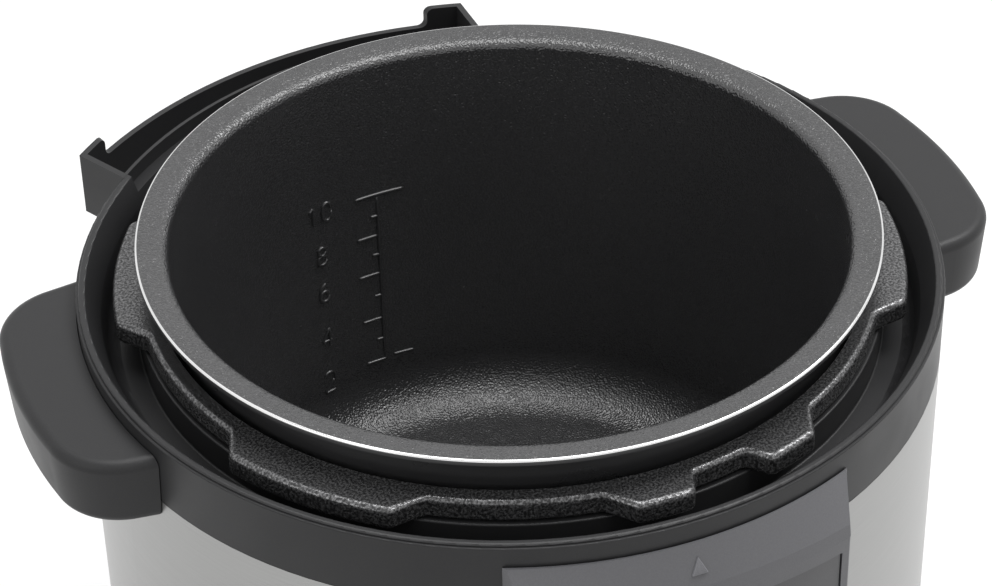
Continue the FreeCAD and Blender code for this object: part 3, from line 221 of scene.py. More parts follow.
@dataclass(frozen=True)
class Hammered(Patterned):
    """Hammer enamel: paint that dries in small cells, with dark creases and pale crowns whose tint
    is partly painted glint.
    """

    span: Pair = (0.42, 0.62)
    cell_mm: float = 1.0
    crease_matt: float = 0.12
    crown_gloss: float = 0.08

    def pattern(self, tree: Tree, place: Socket, shader: Node) -> None:
        """Cells from a noise of two octaves, which also changes the gloss.

        Args:
            tree: Node tree of the material.
            place: Object coordinates.
            shader: Shader that gets the pattern.
        """
        cell = add_node(tree, "ShaderNodeTexNoise", {}, {
            "Vector": place, "Scale": cells(self.cell_mm), "Detail": 2.0, "Roughness": 0.55})
        gloss = add_node(tree, "ShaderNodeMapRange", {}, {
            "Value": cell.outputs["Fac"], "From Min": 0.4, "From Max": 0.65,
            "To Min": self.roughness + self.crease_matt,
            "To Max": self.roughness - self.crown_gloss})
        # The pale tint on the crowns is partly the enamel's cell pattern and partly painted glint
        self.emboss(tree, cell.outputs["Fac"], shader)
        tree.links.new(gloss.outputs["Result"], shader.inputs["Roughness"])


@dataclass(frozen=True)
class Brushed(Patterned):
    """Metal with fine parallel lines, left by a belt, a wire wheel or a lathe."""

    height_mm: float = 0.002
    line_mm: float = 0.5
    way: Brushing = Brushing.LEVEL

    def pattern(self, tree: Tree, place: Socket, shader: Node) -> None:
        """Lines from a noise that is stretched along the brushing.

        Args:
            tree: Node tree of the material.
            place: Object coordinates.
            shader: Shader that gets the pattern.
        """
        along = add_node(tree, "ShaderNodeMapping", {}, {
            "Vector": place, "Scale": self.way.value})
        line = add_node(tree, "ShaderNodeTexNoise", {}, {
            "Vector": along.outputs["Vector"], "Scale": cells(self.line_mm), "Detail": 3.0,
            "Roughness": 0.6})
        self.emboss(tree, line.outputs["Fac"], shader)


@dataclass(frozen=True)
class ClearPane(Finish):
    """Clear moulded pane."""

    wave_mm: float = 12.0
    height_mm: float = 0.02

    def pattern(self, tree: Tree, place: Socket, shader: Node) -> None:
        """A faint waviness of the moulding under full transmission.

        Args:
            tree: Node tree of the material.
            place: Object coordinates.
            shader: Shader that gets the pattern.
        """
        shader.inputs["Transmission Weight"].default_value = 1.0
        wave = add_node(tree, "ShaderNodeTexNoise", {}, {
            "Vector": place, "Scale": cells(self.wave_mm), "Detail": 1.0})
        bump = add_node(tree, "ShaderNodeBump", {}, {
            "Height": wave.outputs["Fac"], "Strength": 0.3, "Distance": self.height_mm * MM})
        tree.links.new(bump.outputs["Normal"], shader.inputs["Normal"])


# Grit, moulded grain and brushed lines are finer in life: they are drawn 0.3 to 0.8 mm wide to show

# Sprayed non-stick coat on blasted aluminium: near black, the facets of its grit glint in the light
NON_STICK = Grained("sprayed_non_stick_coat", "#2e2e2f", 0.22, ior=1.7, pale="#383839",
                    grain_mm=0.65, height_mm=0.28, detail=0.0)
# The same coat on the pot's outside, sprayed on smooth metal: an even satin
OUTER_COAT = Grained("sprayed_satin_coat", "#2e2e2f", 0.3, ior=1.7, pale="#343435",
                     grain_mm=0.6, height_mm=0.01)
# The same coat where it pools on the stamped scale: smoother, so that strokes read as clean lines
SCALE_COAT = Grained("pooled_non_stick_coat", "#2e2e2f", 0.26, ior=1.7, pale="#383839",
                     grain_mm=0.6, height_mm=0.01, detail=0.0)
# Spun aluminium, bare where the coat was wiped off the rim: a thin bright line
BARE_RIM = Brushed("spun_bare_aluminium", "#d8d8d8", 0.22, metallic=1.0, pale="#f2f2f2",
                   line_mm=0.4)
# Hammer enamel on cast aluminium: salt and pepper cells that hide the casting's roughness; the
# cells' pale crowns are partly painted glint
HAMMER_ENAMEL = Hammered("sprayed_hammer_enamel", "#2b2b2c", 0.24, metallic=0.55, ior=1.7,
                         pale="#787879", cell_mm=0.75, height_mm=0.08)
# Moulded polypropylene with a spark-eroded grain: dark grey, a soft sheen on edges
COLLAR_PLASTIC = Grained("moulded_dark_polypropylene", "#252526", 0.42, ior=1.37, pale="#2b2b2c",
                         grain_mm=0.45, height_mm=0.008)
# Moulded ABS of the bezel: mid grey, with a shallower grain and a little more gloss
BEZEL_PLASTIC = Grained("moulded_grey_abs", "#636366", 0.4, pale="#6b6b6e", grain_mm=0.45,
                        height_mm=0.006)
# Paler ABS of the small mark on the bezel's band: stands out from it by its tone alone
MARK_PLASTIC = Grained("moulded_pale_grey_abs", "#76767a", 0.4, pale="#7e7e82", grain_mm=0.45,
                       height_mm=0.006)
# Painted ABS of the front plate: an even grey, darker than the bezel
FRONT_PLATE = Grained("painted_silver_grey_abs", "#525254", 0.38, pale="#5a5a5c", grain_mm=0.4,
                      height_mm=0.005)
# Soft-touch keys: dark and matt
KEY_PLASTIC = Grained("moulded_soft_keys", "#343436", 0.5, pale="#3c3c3e", grain_mm=0.4,
                      height_mm=0.006)
# Belt-brushed stainless sheet, wrapped so that its lines run level: a broad, quiet sheen
STEEL_SHEET = Brushed("brushed_stainless_sheet", "#999998", 0.34, metallic=1.0, pale="#9f9f9e",
                      line_mm=0.3, height_mm=0.0008)
# Moulded polypropylene of the base: matt black
BASE_PLASTIC = Grained("moulded_black_polypropylene", "#1c1c1d", 0.5, pale="#242425", grain_mm=0.6,
                       height_mm=0.012)
# Moulded rubber feet: black without shine
FOOT_RUBBER = Grained("moulded_rubber", "#101010", 0.7, pale="#191919", grain_mm=0.8,
                      height_mm=0.02)
# Zinc plating on sheet and screws: pale grey with a faint spangle
ZINC = Grained("zinc_plated_steel", "#9a9c9e", 0.36, metallic=1.0, pale="#b4b6b8", grain_mm=1.5,
               height_mm=0.004)
# Cast and turned aluminium of the heater: dull grey with a sandy grain
CAST_PLATE = Grained("cast_aluminium", "#8d8e90", 0.42, metallic=1.0, pale="#a3a4a6",
                     grain_mm=0.8, height_mm=0.02)
# Drawn aluminium of the sensor's cap: bright, with fine level lines
DRAWN_CAP = Brushed("drawn_aluminium", "#b5b6b8", 0.3, metallic=1.0, pale="#c9cacc", line_mm=0.4)
# Spring wire: a hard bright gleam
SPRING_WIRE = Brushed("bright_spring_wire", "#a5a6a8", 0.25, metallic=1.0, pale="#c0c1c3",
                      line_mm=0.3)
# Glazed steatite: cream, with a glossy skin
CERAMIC = Grained("glazed_steatite", "#d9d2c4", 0.25, pale="#e6e0d4", grain_mm=0.7,
                  height_mm=0.004)
# Moulded nylon of switches and sockets: black with a dull sheen
BLACK_NYLON = Grained("moulded_black_nylon", "#121213", 0.45, pale="#1b1b1c", grain_mm=0.5,
                      height_mm=0.008)
# Lacquered circuit board: dark green and glossy
BOARD = Grained("lacquered_glass_laminate", "#17452a", 0.3, pale="#1f5636", grain_mm=1.2,
                height_mm=0.006)
# Tinned brass pins: pale and a little yellow, with fine lines
TIN = Brushed("tinned_brass", "#b9ad8c", 0.3, metallic=1.0, pale="#d0c6a8", line_mm=0.3,
              way=Brushing.ALONG_X)
# Clear acrylic of the display's window: sharp reflections
PANE = ClearPane("clear_acrylic_pane", "#e4e7e8", 0.05, ior=1.49)
# Reflective liquid-crystal cell: grey-green with dark bars
CRYSTAL_CELL = Grained("liquid_crystal_cell", "#a3ad99", 0.35, pale="#aeb8a4", grain_mm=0.6,
                       height_mm=0.002)
CRYSTAL_BAR = Grained("liquid_crystal_bars", "#1d211c", 0.4, pale="#252a24", grain_mm=0.6,
                      height_mm=0.002)
# Pad-printed key marks: flat pale grey
PRINT_INK = Grained("pad_printed_ink", "#c4c4c2", 0.5, pale="#cecfcc", grain_mm=0.3,
                    height_mm=0.003)


def grid_piece(name: str, points: np.ndarray, finishes: list[Finish],
               zones: np.ndarray | None = None) -> Piece:
    """Make an object of one or more point grids.

    Equal points are merged, so that seams and poles close.

    Args:
        name: Name of the piece.
        points: Array of grids, rows, columns and XYZ in metres.
        finishes: Finishes in slot order.
        zones: Slot of each row of quads, or None for the first slot everywhere.

    Returns:
        The object, at the origin.
    """
    count, rows, columns, _ = points.shape
    index = np.arange(count * rows * columns).reshape(count, rows, columns)
    quads = np.stack([index[:, :-1, :-1], index[:, :-1, 1:], index[:, 1:, 1:], index[:, 1:, :-1]],
                     axis=-1)
    mesh = bpy.data.meshes.new(name)
    mesh.from_pydata(points.reshape(-1, 3).tolist(), [], quads.reshape(-1, 4).tolist())
    if zones is not None:
        slots = np.broadcast_to(zones[None, :, None], quads.shape[:3]).astype(np.int32)
        mesh.polygons.foreach_set("material_index", slots.ravel().copy())
    shape = bmesh.new()
    shape.from_mesh(mesh)
    bmesh.ops.remove_doubles(shape, verts=shape.verts, dist=MERGE_GAP)
    bmesh.ops.recalc_face_normals(shape, faces=shape.faces)
    shape.to_mesh(mesh)
    shape.free()
    mesh.polygons.foreach_set("use_smooth", np.ones(len(mesh.polygons), dtype=bool))
    mesh.set_sharp_from_angle(angle=CRISP_ANGLE)
    for finish in finishes:
        mesh.materials.append(finish.material())
    piece = bpy.data.objects.new(name, mesh)
    bpy.context.scene.collection.objects.link(piece)
    return piece


def whole_turn(steps: int) -> np.ndarray:
    """Angles of a whole turn in even steps, the last equal to the first so that a seam closes.

    Args:
        steps: Steps in the turn.

    Returns:
        Angles in radians, one more than the steps.
    """
    angle = np.linspace(0, 2 * pi, steps + 1)
    angle[-1] = 0.0
    return angle


def rounded_profile(corners: list[Spot], steps: int) -> np.ndarray:
    """Open profile through corners, each one cut by a tangent arc.

    An arc of radius r at a corner whose sides meet at 2h starts r/tan(h) along each side; its
    centre lies r/sin(h) along the bisector, and its points turn evenly from one tangent point to
    the other.

    Args:
        corners: Radius, height and rounding of each corner, in metres.
        steps: Points on each arc.

    Returns:
        Array of points, radius and height.
    """
    flat = np.array([corner[:2] for corner in corners])
    runs = [flat[:1]]
    for (_, _, radius), last, here, after in zip(corners[1:-1], flat[:-2], flat[1:-1], flat[2:]):
        back = (last - here) / np.linalg.norm(last - here)
        ahead = (after - here) / np.linalg.norm(after - here)
        half = np.arccos(np.clip(back @ ahead, -1, 1)) / 2
        middle = (back + ahead) / np.linalg.norm(back + ahead)
        centre = here + middle * radius / np.sin(half)
        first = here + back * radius / np.tan(half) - centre
        final = here + ahead * radius / np.tan(half) - centre
        turn = np.linspace(0, 1, steps if radius else 1)[:, None]
        swing = pi - 2 * half
        arc = first * np.sin((1 - turn) * swing) + final * np.sin(turn * swing)
        runs.append(centre + arc / np.sin(swing))
    runs.append(flat[-1:])
    return np.concatenate(runs)


def turned_piece(name: str, profile: np.ndarray, finishes: list[Finish],
                 zones: np.ndarray) -> Piece:
    """Turn a profile about the upright axis: a point (r, z) sweeps to (r sin a, r cos a, z).

    Args:
        name: Name of the piece.
        profile: Radius and height of each point, in metres.
        finishes: Finishes in slot order.
        zones: Slot of each step of the profile.

    Returns:
        The object.
    """
    angle = whole_turn(TURN_STEPS)
    radius, height = profile[:, :1], profile[:, 1:]
    points = np.stack([radius * np.sin(angle), radius * np.cos(angle), height + 0 * angle],
                      axis=-1)
    return grid_piece(name, points[None], finishes, zones)


def ridges(path: np.ndarray, lift: np.ndarray, width: float, height: float) -> np.ndarray:
    """Carry an ellipse along paths to make rounded ridges that taper to a point at both ends.

    With t the path's direction and n the surface's normal, the side is n x t and a ridge's point
    is p + e (w cos q side + h sin q n), where e = sqrt(1 - s^8) and s runs from -1 to 1 along the
    path.

    Args:
        path: Paths, points and XYZ, on the surface.
        lift: Unit normals of the surface at those points.
        width: Half width of a ridge.
        height: Height of a ridge over the surface.

    Returns:
        Grids of points: paths, steps along, steps round and XYZ.
    """
    along = np.gradient(path, axis=1)
    along /= np.linalg.norm(along, axis=-1, keepdims=True)
    side = np.cross(lift, along)
    q = whole_turn(RIDGE_SIDES)[None, None, :, None]
    s = np.linspace(-1, 1, path.shape[1])[None, :, None, None]
    ends = np.sqrt(np.clip(1 - s ** 8, 0, 1))
    ring = width * np.cos(q) * side[:, :, None, :] + height * np.sin(q) * lift[:, :, None, :]
    return path[:, :, None, :] + ends * ring


def strokes_of(figure: str) -> list[np.ndarray]:
    """Pen strokes of one figure in a box one unit wide, with the origin at its middle.

    Straight strokes are even divisions of a line; bowls are ellipses c + (a cos q, b sin q).

    Args:
        figure: One of 0, 1, 2, 4, 6 and 8.

    Returns:
        Arrays of points across and up.
    """
    s = np.linspace(0, 1, STROKE_POINTS)[:, None]

    def line(start: Pair, end: Pair) -> np.ndarray:
        """Straight stroke."""
        return np.array(start) * (1 - s) + np.array(end) * s

    def bowl(centre: Pair, size: Pair, begin: float, finish: float) -> np.ndarray:
        """Part of an ellipse between two angles in turns, anticlockwise from the right."""
        q = 2 * pi * (begin + (finish - begin) * s)
        return np.array(centre) + np.array(size) * np.concatenate([np.cos(q), np.sin(q)], axis=-1)

    shapes = {
        "0": [bowl((0, 0), (0.42, 0.8), 0.0, 1.0)],
        "1": [line((0.05, -0.8), (0.05, 0.8)), line((-0.28, 0.5), (0.05, 0.8))],
        "2": [bowl((0, 0.4), (0.42, 0.4), 0.46, -0.11), line((0.33, 0.15), (-0.44, -0.8)),
              line((-0.44, -0.8), (0.46, -0.8))],
        "4": [line((0.2, -0.8), (0.2, 0.8)), line((0.2, 0.8), (-0.46, -0.32)),
              line((-0.46, -0.32), (0.46, -0.32))],
        "6": [bowl((0, -0.34), (0.42, 0.46), 0.0, 1.0),
              bowl((0.26, -0.1), (0.66, 0.9), 0.5, 0.27)],
        "8": [bowl((0, 0.42), (0.34, 0.38), 0.0, 1.0), bowl((0, -0.38), (0.42, 0.42), 0.0, 1.0)],
    }
    return shapes[figure]


@dataclass
class CookingPot:
    """Lift-out pot: coated inside, with a flared lip, a bare rim and a raised scale on its wall.

    The scale's heights are in millimetres from the rim, and its angles in degrees from the back.
    """

    wall: float = 2.5 * MM
    floor: float = 3.0 * MM
    corner: float = 22.0 * MM
    lip_reach: float = 8.0 * MM
    lip_edge: float = 2.0 * MM
    lip_fall: float = 1.6 * MM
    lip_round: float = 3.5 * MM
    bare_round: float = 0.65 * MM
    mark_width: float = 0.6 * MM
    mark_height: float = 0.7 * MM
    # First and last angle of each tick, and its height
    ticks: tuple[Spot, ...] = (
        (-8.4, 1.9, -57.2), (-5.2, -3.6, -66.5), (-8.2, -3.8, -75.1), (-5.2, -3.6, -83.5),
        (-8.3, -3.6, -92.0), (-5.2, -3.6, -102.0), (-8.0, -3.6, -112.5), (-5.2, -3.6, -122.0),
        (-7.6, -3.2, -131.8), (-1.9, 2.5, -131.0),
    )
    # Angle of the upright line, its upper end and its length
    upright: Spot = (-3.7, -57.2, 74.3)
    # Each number with the height of its middle and its own height
    numbers: tuple[tuple[str, float, float], ...] = (
        ("10", -57.0, 7.6), ("8", -75.4, 7.4), ("6", -91.7, 7.6), ("4", -112.0, 8.0),
        ("2", -132.6, 9.0),
    )
    number_angle: float = -16.0
    figure_pitch: float = 1.3

    def build(self) -> None:
        """Build the pot in place of its CAD node, then the scale."""
        low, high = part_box("inner_pot")
        lip = high.x
        out = lip - self.lip_reach
        inside = out - self.wall
        edge = self.lip_edge
        bare = self.bare_round
        outer = rounded_profile([
            (0, low.z, 0), (out, low.z, self.corner),
            (out, high.z - edge - self.lip_fall, self.lip_round - self.wall),
            (lip, high.z - edge, 0), (lip, high.z - bare, 0)], steps=9)
        rim = rounded_profile([
            (lip, high.z - bare, 0), (lip, high.z, bare), (lip - bare, high.z, 0)], steps=7)
        inner = rounded_profile([
            (lip - bare, high.z, 0), (inside, high.z - self.lip_fall, self.lip_round),
            (inside, low.z + self.floor, self.corner - self.wall),
            (0, low.z + self.floor, 0)], steps=24)
        profile = np.concatenate([outer, rim[1:], inner[1:]])
        zones = np.repeat([0, 1, 2], [len(outer) - 1, len(rim) - 1, len(inner) - 1])
        pot = turned_piece("cooking_pot", profile, [OUTER_COAT, BARE_RIM, NON_STICK], zones)
        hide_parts("inner_pot")
        self.dress(pot)
        self.dress(self.scale(inside, high.z))

    def dress(self, piece: Piece) -> None:
        """Let a piece ride with the pot.

        Args:
            piece: The pot or its scale.
        """
        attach(piece, "pot")
        log.info("%s: %d faces", piece.name, len(piece.data.polygons))

    def scale(self, radius: float, top: float) -> Piece:
        """Raised scale: level ticks, an upright line and numbers, all on the wall's cylinder.

        A mark's point (a, z) lies at (r sin a, r cos a, z), and its normal points to the axis.

        Args:
            radius: Inside radius of the wall.
            top: Height of the rim.

        Returns:
            The scale as one piece.
        """
        steps = np.linspace(0, 1, STROKE_POINTS)
        strokes = [np.stack([first + (last - first) * steps, z + 0 * steps], axis=-1)
                   for first, last, z in self.ticks]
        at, upper, length = self.upright
        strokes.append(np.stack([at + 0 * steps, upper - length * steps], axis=-1))
        for number, z, height in self.numbers:
            unit = height / FIGURE_HEIGHT
            wide = np.degrees(unit * MM / radius)
            pitch = wide * self.figure_pitch
            for place, figure in enumerate(number):
                shift = self.number_angle + pitch * (place - (len(number) - 1) / 2)
                strokes += [np.stack([shift + wide * s[:, 0], z + unit * s[:, 1]], axis=-1)
                            for s in strokes_of(figure)]
        flat = np.array(strokes)
        angle = np.radians(flat[..., 0])
        lift = np.stack([-np.sin(angle), -np.cos(angle), 0 * angle], axis=-1)
        path = -radius * lift
        path[..., 2] = top + flat[..., 1] * MM
        marks = ridges(path, lift, self.mark_width, self.mark_height)
        return grid_piece("pot_scale", marks, [SCALE_COAT])


@dataclass
class SensorSpring:
    """Coil spring under the sensor's cap, which shortens as the cap goes down."""

    wire: float = 0.6 * MM
    turns: float = 5.0
    turn_steps: int = 48
    dead_turns: float = 0.75
    travel: float = 3.0 * MM

    def build(self) -> None:
        """Coil a wire whose end turns lie level.

        With turn t, a point is (R sin 2 pi t, R cos 2 pi t, z), where z is level over the dead
        turns at both ends and climbs evenly between them.
        """
        low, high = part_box("sensor_spring")
        turn = np.linspace(0, self.turns, int(self.turns * self.turn_steps) + 1)
        angle = 2 * pi * turn
        climb = np.clip((turn - self.dead_turns) / (self.turns - 2 * self.dead_turns), 0, 1)
        lift = np.stack([np.sin(angle), np.cos(angle), 0 * angle], axis=-1)
        path = (high.x - self.wire) * lift
        path[:, 2] = low.z + self.wire + climb * (high.z - low.z - 2 * self.wire)
        grid = ridges(path[None], lift[None], self.wire, self.wire)
        coil = grid_piece("sensor_coil", grid, [SPRING_WIRE])
        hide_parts("sensor_spring")
        self.dress(coil, low.z, high.z)

    def dress(self, coil: Piece, low: float, high: float) -> None:
        """Keep the coil on the cooker.

        Args:
            coil: The spring.
            low: Height of its fixed end; not used.
            high: Height of its free end; not used.
        """
        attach(coil, "cooker")
        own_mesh(coil)
        log.info("%s: %d faces", coil.name, len(coil.data.polygons))


@dataclass
class ControlPanel:
    """Marks of the panel: the bezel's triangle, the display's picture and the keys' signs."""

    # Y of the upright axis that the keys' faces are turned about, and their radius
    axis: float = 48.0 * MM
    key_face: float = 194.9 * MM
    print_rise: float = 0.1 * MM
    # Display: half sizes of the cell and of a figure, half width of a bar, places of the figures,
    # then how far the colon's dots lie from the middle and their half size
    cell_half: Pair = (25.0 * MM, 8.6 * MM)
    digit_half: Pair = (2.7 * MM, 5.6 * MM)
    bar: float = 0.62 * MM
    digits: tuple[float, ...] = (-15.5 * MM, -6.0 * MM, 6.0 * MM, 15.5 * MM)
    colon: float = 2.4 * MM
    colon_dot: float = 0.744 * MM
    # Bezel: height of its sloped band, how far the band's foot lies back and how far it falls back,
    # then the mark's half size and rise
    band: float = 13.4 * MM
    band_foot: float = 0.8 * MM
    band_fall: float = 4.75 * MM
    mark_half: float = 2.5 * MM
    mark_rise: float = 0.5 * MM
    # Keys' signs: spacing, then half sizes
    sign_step: float = 3.4 * MM
    sign_thin: float = 0.6 * MM
    sign_long: float = 2.6 * MM
    sign_square: float = 1.3 * MM
    sign_dot: float = 0.84 * MM
    plus_arm: float = 1.0 * MM

    def build(self) -> None:
        """Build the bezel's mark, the display's picture and the signs."""
        self.mark()
        self.display()
        for key, shape in self.signs().items():
            self.sign(key, np.array(shape))

    def dress(self, piece: Piece, body: str, slot: str) -> None:
        """Let a piece ride with its body.

        Args:
            piece: The piece.
            body: Body that carries it.
            slot: Slot that it takes; not used.
        """
        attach(piece, body)
        log.info("%s: %d faces", piece.name, len(piece.data.polygons))

    def pads(self, middles: np.ndarray, halves: np.ndarray, rise: float,
             face: Callable[[np.ndarray, np.ndarray], np.ndarray]) -> np.ndarray:
        """Closed pads with softly squared outlines on a face.

        The outline is |u/a|^6 + |v/b|^6 = 1, so u = a sgn(cos q) |cos q|^(1/3) and v likewise with
        the sine. Rings widen from the middle to the outline just under the face, and shrink to the
        middle again on top.

        Args:
            middles: Middle of each pad, across and up.
            halves: Half width and half height of each pad.
            rise: Height of a pad over the face.
            face: Gives Y from X and a height over the face.

        Returns:
            Grids of points: pads, rings, steps round and XYZ.
        """
        q = whole_turn(PAD_STEPS)
        circle = np.stack([np.cos(q), np.sin(q)], axis=-1)
        outline = np.sign(circle) * np.abs(circle) ** (1 / 3)
        shrink = np.array([0.0, 1.0, 1.0, 0.97, 0.6, 0.0])[None, :, None, None]
        lift = rise * np.array([-1.0, -1.0, 0.7, 1.0, 1.0, 1.0])[None, :, None]
        flat = middles[:, None, None, :] + halves[:, None, None, :] * shrink * outline
        return np.stack([flat[..., 0], face(flat[..., 0], lift), flat[..., 1]], axis=-1)

    def mark(self) -> None:
        """Triangle with chamfered sides over the bezel's raised mark.

        The band slopes evenly, so with height z over its foot Y is foot + fall z / band, less the
        rise of a ring. Rings run from the middle under the face, over the sides, to the middle on
        top.
        """
        low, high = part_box("panel_frame")
        half = self.mark_half
        corners = np.array([(half, -half), (0, half), (-half, -half), (half, -half)])
        shrink = np.array([0.0, 1.05, 1.05, 0.9, 0.0])[:, None, None]
        lift = self.mark_rise * np.array([-0.2, -0.2, 1.05, 1.4, 1.4])[:, None]
        flat = shrink * corners
        middle = self.band / 2
        slope = low.y + self.band_foot + (flat[..., 1] + middle) * self.band_fall / self.band
        points = np.stack([flat[..., 0], slope - lift, high.z - middle + flat[..., 1]], axis=-1)
        piece = grid_piece("panel_mark", points[None], [MARK_PLASTIC])
        self.dress(piece, "cooker", "panel_plastic")

    def display(self) -> None:
        """Cell in front of the display's block, with the bars of four figures and a colon."""
        low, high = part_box("display_module")
        middle = np.array([[(low.x + high.x) / 2, (low.z + high.z) / 2]])
        cell = self.pads(middle, np.array([self.cell_half]), self.print_rise,
                         lambda x, h: low.y - h + 0 * x)
        self.dress(grid_piece("display_cell", cell, [CRYSTAL_CELL]), "cooker", "module_plastic")
        wide, tall = self.digit_half
        spots = np.array([(0, tall), (0, -tall), (-wide, tall / 2), (wide, tall / 2),
                          (-wide, -tall / 2), (wide, -tall / 2)])
        level, upright = (wide - self.bar, self.bar), (self.bar, tall / 2 - self.bar)
        sizes = np.array([level, level, upright, upright, upright, upright])
        across = np.array([(digit, 0) for digit in self.digits])
        figures = (spots[None] + across[:, None]).reshape(-1, 2)
        dots = np.array([(0, self.colon), (0, -self.colon)])
        middles = middle + np.concatenate([figures, dots])
        halves = np.concatenate([np.tile(sizes, (len(self.digits), 1)),
                                 np.full((2, 2), self.colon_dot)])
        front = low.y - self.print_rise
        bars = self.pads(middles, halves, self.print_rise, lambda x, h: front - h + 0 * x)
        self.dress(grid_piece("display_bars", bars, [CRYSTAL_BAR]), "cooker", "module_plastic")

    def signs(self) -> dict[str, list[tuple[float, float, float, float]]]:
        """Signs of the keys: one to three bars, a minus, a square, two dots, two lines and a plus.

        Returns:
            Pads of each key's sign: middle across and up, half width and half height.
        """
        step, thin, dot, arm = self.sign_step, self.sign_thin, self.sign_dot, self.plus_arm
        upright, level = (thin, self.sign_long), (self.sign_long, thin)
        out = thin + arm
        return {
            "key_left_1": [(0, 0, *upright)],
            "key_left_2": [(-step / 2, 0, *upright), (step / 2, 0, *upright)],
            "key_left_3": [(-step, 0, *upright), (0, 0, *upright), (step, 0, *upright)],
            "key_left_4": [(0, 0, *level)],
            "key_right_1": [(0, 0, self.sign_square, self.sign_square)],
            "key_right_2": [(-step / 2, 0, dot, dot), (step / 2, 0, dot, dot)],
            "key_right_3": [(0, step / 3, *level), (0, -step / 3, *level)],
            "key_right_4": [(0, 0, *level), (0, out, thin, arm), (0, -out, thin, arm)],
        }

    def sign(self, key: str, shape: np.ndarray) -> None:
        """Print one key's sign on its face, a cylinder about the panel's axis.

        Args:
            key: Node and body of the key.
            shape: Pads of the sign.
        """
        low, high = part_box(key)
        middle = np.array([(low.x + high.x) / 2, (low.z + high.z) / 2])
        grids = self.pads(middle + shape[:, :2], shape[:, 2:], self.print_rise,
                          lambda x, h: self.axis - np.sqrt((self.key_face + h) ** 2 - x ** 2))
        self.dress(grid_piece(f"{key}_sign", grids, [PRINT_INK]), key, "key_plastic")


@dataclass
class Dressing:
    """Finishes of the pieces that keep their CAD shape."""

    finishes: dict[Finish, list[str]] = field(default_factory=lambda: {
        HAMMER_ENAMEL: ["outer_pot"],
        COLLAR_PLASTIC: ["upper_collar", "left_handle", "right_handle"],
        STEEL_SHEET: ["steel_shell"],
        BASE_PLASTIC: ["base_pan"],
        FOOT_RUBBER: ["rubber_feet"],
        ZINC: ["support_legs", "sensor_cup", "switch_bracket", "leg_screws", "handle_screws",
               "heater_screws", "sensor_screws", "board_screws"],
        CAST_PLATE: ["heating_plate"],
        DRAWN_CAP: ["sensor_cap"],
        SPRING_WIRE: ["fuse_clip"],
        CERAMIC: ["heater_terminals", "thermal_fuse"],
        BLACK_NYLON: ["pressure_switch", "tact_switches", "power_board_parts", "power_inlet",
                      "display_module"],
        BOARD: ["control_board", "power_board"],
        TIN: ["inlet_pins"],
        BEZEL_PLASTIC: ["panel_frame"],
        FRONT_PLATE: ["control_overlay"],
        PANE: ["display_window"],
        KEY_PLASTIC: ["key_left_1", "key_left_2", "key_left_3", "key_left_4",
                      "key_right_1", "key_right_2", "key_right_3", "key_right_4"],
    })

    def dress(self) -> None:
        """Give each node its finish."""
        for finish, names in self.finishes.items():
            for name in names:
                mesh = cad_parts[name].data
                mesh.materials.clear()
                mesh.materials.append(finish.material())
                log.info("%s: %s", name, finish.name)


@dataclass(frozen=True)
class SoftBox:
    """Rectangular lamp: where it hangs, what it faces, its width and height, and its power."""

    name: str
    place: Spot
    aim: Spot
    size: Pair
    watts: float

    def hang(self) -> None:
        """Add the lamp to the scene."""
        data = bpy.data.lights.new(self.name, "AREA")
        data.shape = "RECTANGLE"
        data.size, data.size_y = self.size
        data.energy = self.watts
        box = bpy.data.objects.new(self.name, data)
        box.location = self.place
        facing = Vector(self.aim) - Vector(self.place)
        box.rotation_euler = facing.to_track_quat("-Z", "Y").to_euler()
        bpy.context.scene.collection.objects.link(box)


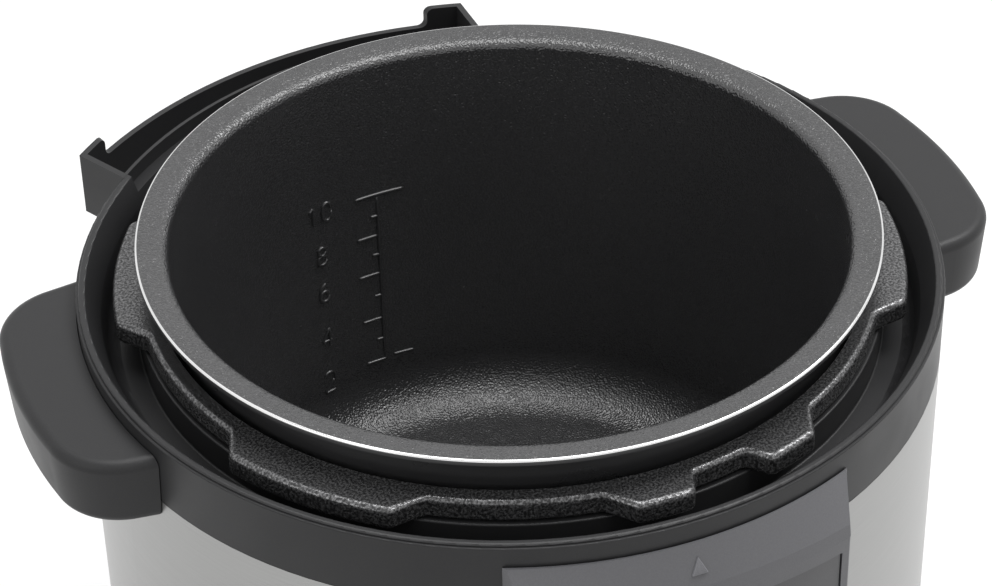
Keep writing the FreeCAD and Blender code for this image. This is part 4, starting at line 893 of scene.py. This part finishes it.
@dataclass
class Studio:
    """White floor, soft lamps and the camera of the photograph."""

    lamps: tuple[SoftBox, ...] = (
        SoftBox("overhead", (0.0, 0.1, 1.7), aim=(0, 0, 0.2), size=(0.9, 0.8), watts=11.0),
        SoftBox("left", (-1.5, -0.5, 0.8), aim=(0, 0, 0.15), size=(0.8, 0.8), watts=2.4),
        SoftBox("right", (0.95, 0.0, 1.6), aim=(0, 0, 0.15), size=(0.6, 0.8), watts=14.0),
        SoftBox("front", (0.55, -0.75, 1.6), aim=(0, 0, 0.15), size=(0.3, 0.3), watts=3.6),
    )
    fill: float = 0.55
    # Floor: half width, points along a side, drop under the feet, and how it lights and looks
    floor_half: float = 4.0
    floor_points: int = 9
    floor_drop: float = 0.1 * MM
    paper: str = "#a0a0a0"
    paper_glow: float = 0.7
    # Camera: place, angles in degrees, lens and sensor in millimetres, nearest and farthest sight
    eye: Spot = (-0.2996, -0.7480, 0.8192)
    azimuth: float = 21.5
    dip: float = 36.81
    roll: float = -1.41
    lens: float = 111.66
    sensor: float = 36.0
    sight: Pair = (0.05, 30.0)

    def build(self) -> None:
        """Set the floor, the lamps, the world and the camera."""
        self.floor()
        for lamp in self.lamps:
            lamp.hang()
        self.world()
        self.camera()
        bpy.context.scene.view_settings.view_transform = "Standard"

    def white_to_eye(self, tree: Tree, seen: Socket, lit: Socket) -> Socket:
        """Mix two shaders: one for camera, mirror and glass rays, one for light that bounces.

        Args:
            tree: Node tree that gets the nodes.
            seen: Shader that the eye meets.
            lit: Shader that lights the object.

        Returns:
            The mixed shader's output.
        """
        path = add_node(tree, "ShaderNodeLightPath", {}, {})
        first = add_node(tree, "ShaderNodeMath", {"operation": "MAXIMUM"}, {
            0: path.outputs["Is Camera Ray"], 1: path.outputs["Is Glossy Ray"]})
        second = add_node(tree, "ShaderNodeMath", {"operation": "MAXIMUM"}, {
            0: first.outputs[0], 1: path.outputs["Is Transmission Ray"]})
        return add_node(tree, "ShaderNodeMixShader", {}, {
            0: second.outputs[0], 1: lit, 2: seen}).outputs[0]

    def floor(self) -> None:
        """Level sheet under the feet, white to the eye but for the object's shadow."""
        side = np.linspace(-self.floor_half, self.floor_half, self.floor_points)
        x, y = np.meshgrid(side, side, indexing="ij")
        points = np.stack([x, y, np.full(x.shape, -self.floor_drop)], axis=-1)
        paper = bpy.data.materials.new("white_paper_floor")
        paper.use_nodes = True
        tree = paper.node_tree
        tree.nodes.clear()
        matt = add_node(tree, "ShaderNodeBsdfDiffuse", {}, {"Color": linear(self.paper)})
        glow = add_node(tree, "ShaderNodeEmission", {}, {
            "Color": linear("#ffffff"), "Strength": self.paper_glow})
        bright = add_node(tree, "ShaderNodeAddShader", {}, {
            0: matt.outputs[0], 1: glow.outputs[0]})
        mixed = self.white_to_eye(tree, bright.outputs[0], matt.outputs[0])
        add_node(tree, "ShaderNodeOutputMaterial", {}, {"Surface": mixed})
        sheet = grid_piece("floor", points[None], [])
        sheet.data.materials.append(paper)

    def world(self) -> None:
        """White surroundings for the eye and for mirrors, a soft fill for the rest."""
        world = bpy.data.worlds.new("studio")
        world.use_nodes = True
        tree = world.node_tree
        tree.nodes.clear()
        seen = add_node(tree, "ShaderNodeBackground", {}, {
            "Color": linear("#ffffff"), "Strength": 1.0})
        fill = add_node(tree, "ShaderNodeBackground", {}, {
            "Color": linear("#ffffff"), "Strength": self.fill})
        mixed = self.white_to_eye(tree, seen.outputs[0], fill.outputs[0])
        add_node(tree, "ShaderNodeOutputWorld", {}, {"Surface": mixed})
        bpy.context.scene.world = world

    def camera(self) -> None:
        """Camera solved from the pot's lip, the flange and the shell in the photograph."""
        a, e, r = radians(self.azimuth), radians(self.dip), radians(self.roll)
        right = Vector((cos(a), -sin(a), 0))
        level = Vector((sin(a), cos(a), 0))
        ahead = level * cos(e) - Vector((0, 0, sin(e)))
        down = -level * sin(e) - Vector((0, 0, cos(e)))
        across = right * cos(r) - down * sin(r)
        up = -(right * sin(r) + down * cos(r))
        data = bpy.data.cameras.new("camera")
        data.lens = self.lens
        data.sensor_width = self.sensor
        data.clip_start, data.clip_end = self.sight
        turn = Matrix((across, up, -ahead)).transposed().to_4x4()
        eye = bpy.data.objects.new("camera", data)
        eye.matrix_world = Matrix.Translation(Vector(self.eye)) @ turn
        bpy.context.scene.collection.objects.link(eye)
        bpy.context.scene.camera = eye


def main() -> None:
    """Build the pieces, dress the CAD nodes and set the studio."""
    CookingPot().build()
    SensorSpring().build()
    ControlPanel().build()
    Dressing().dress()
    Studio().build()


if __name__ == "__main__":
    main()
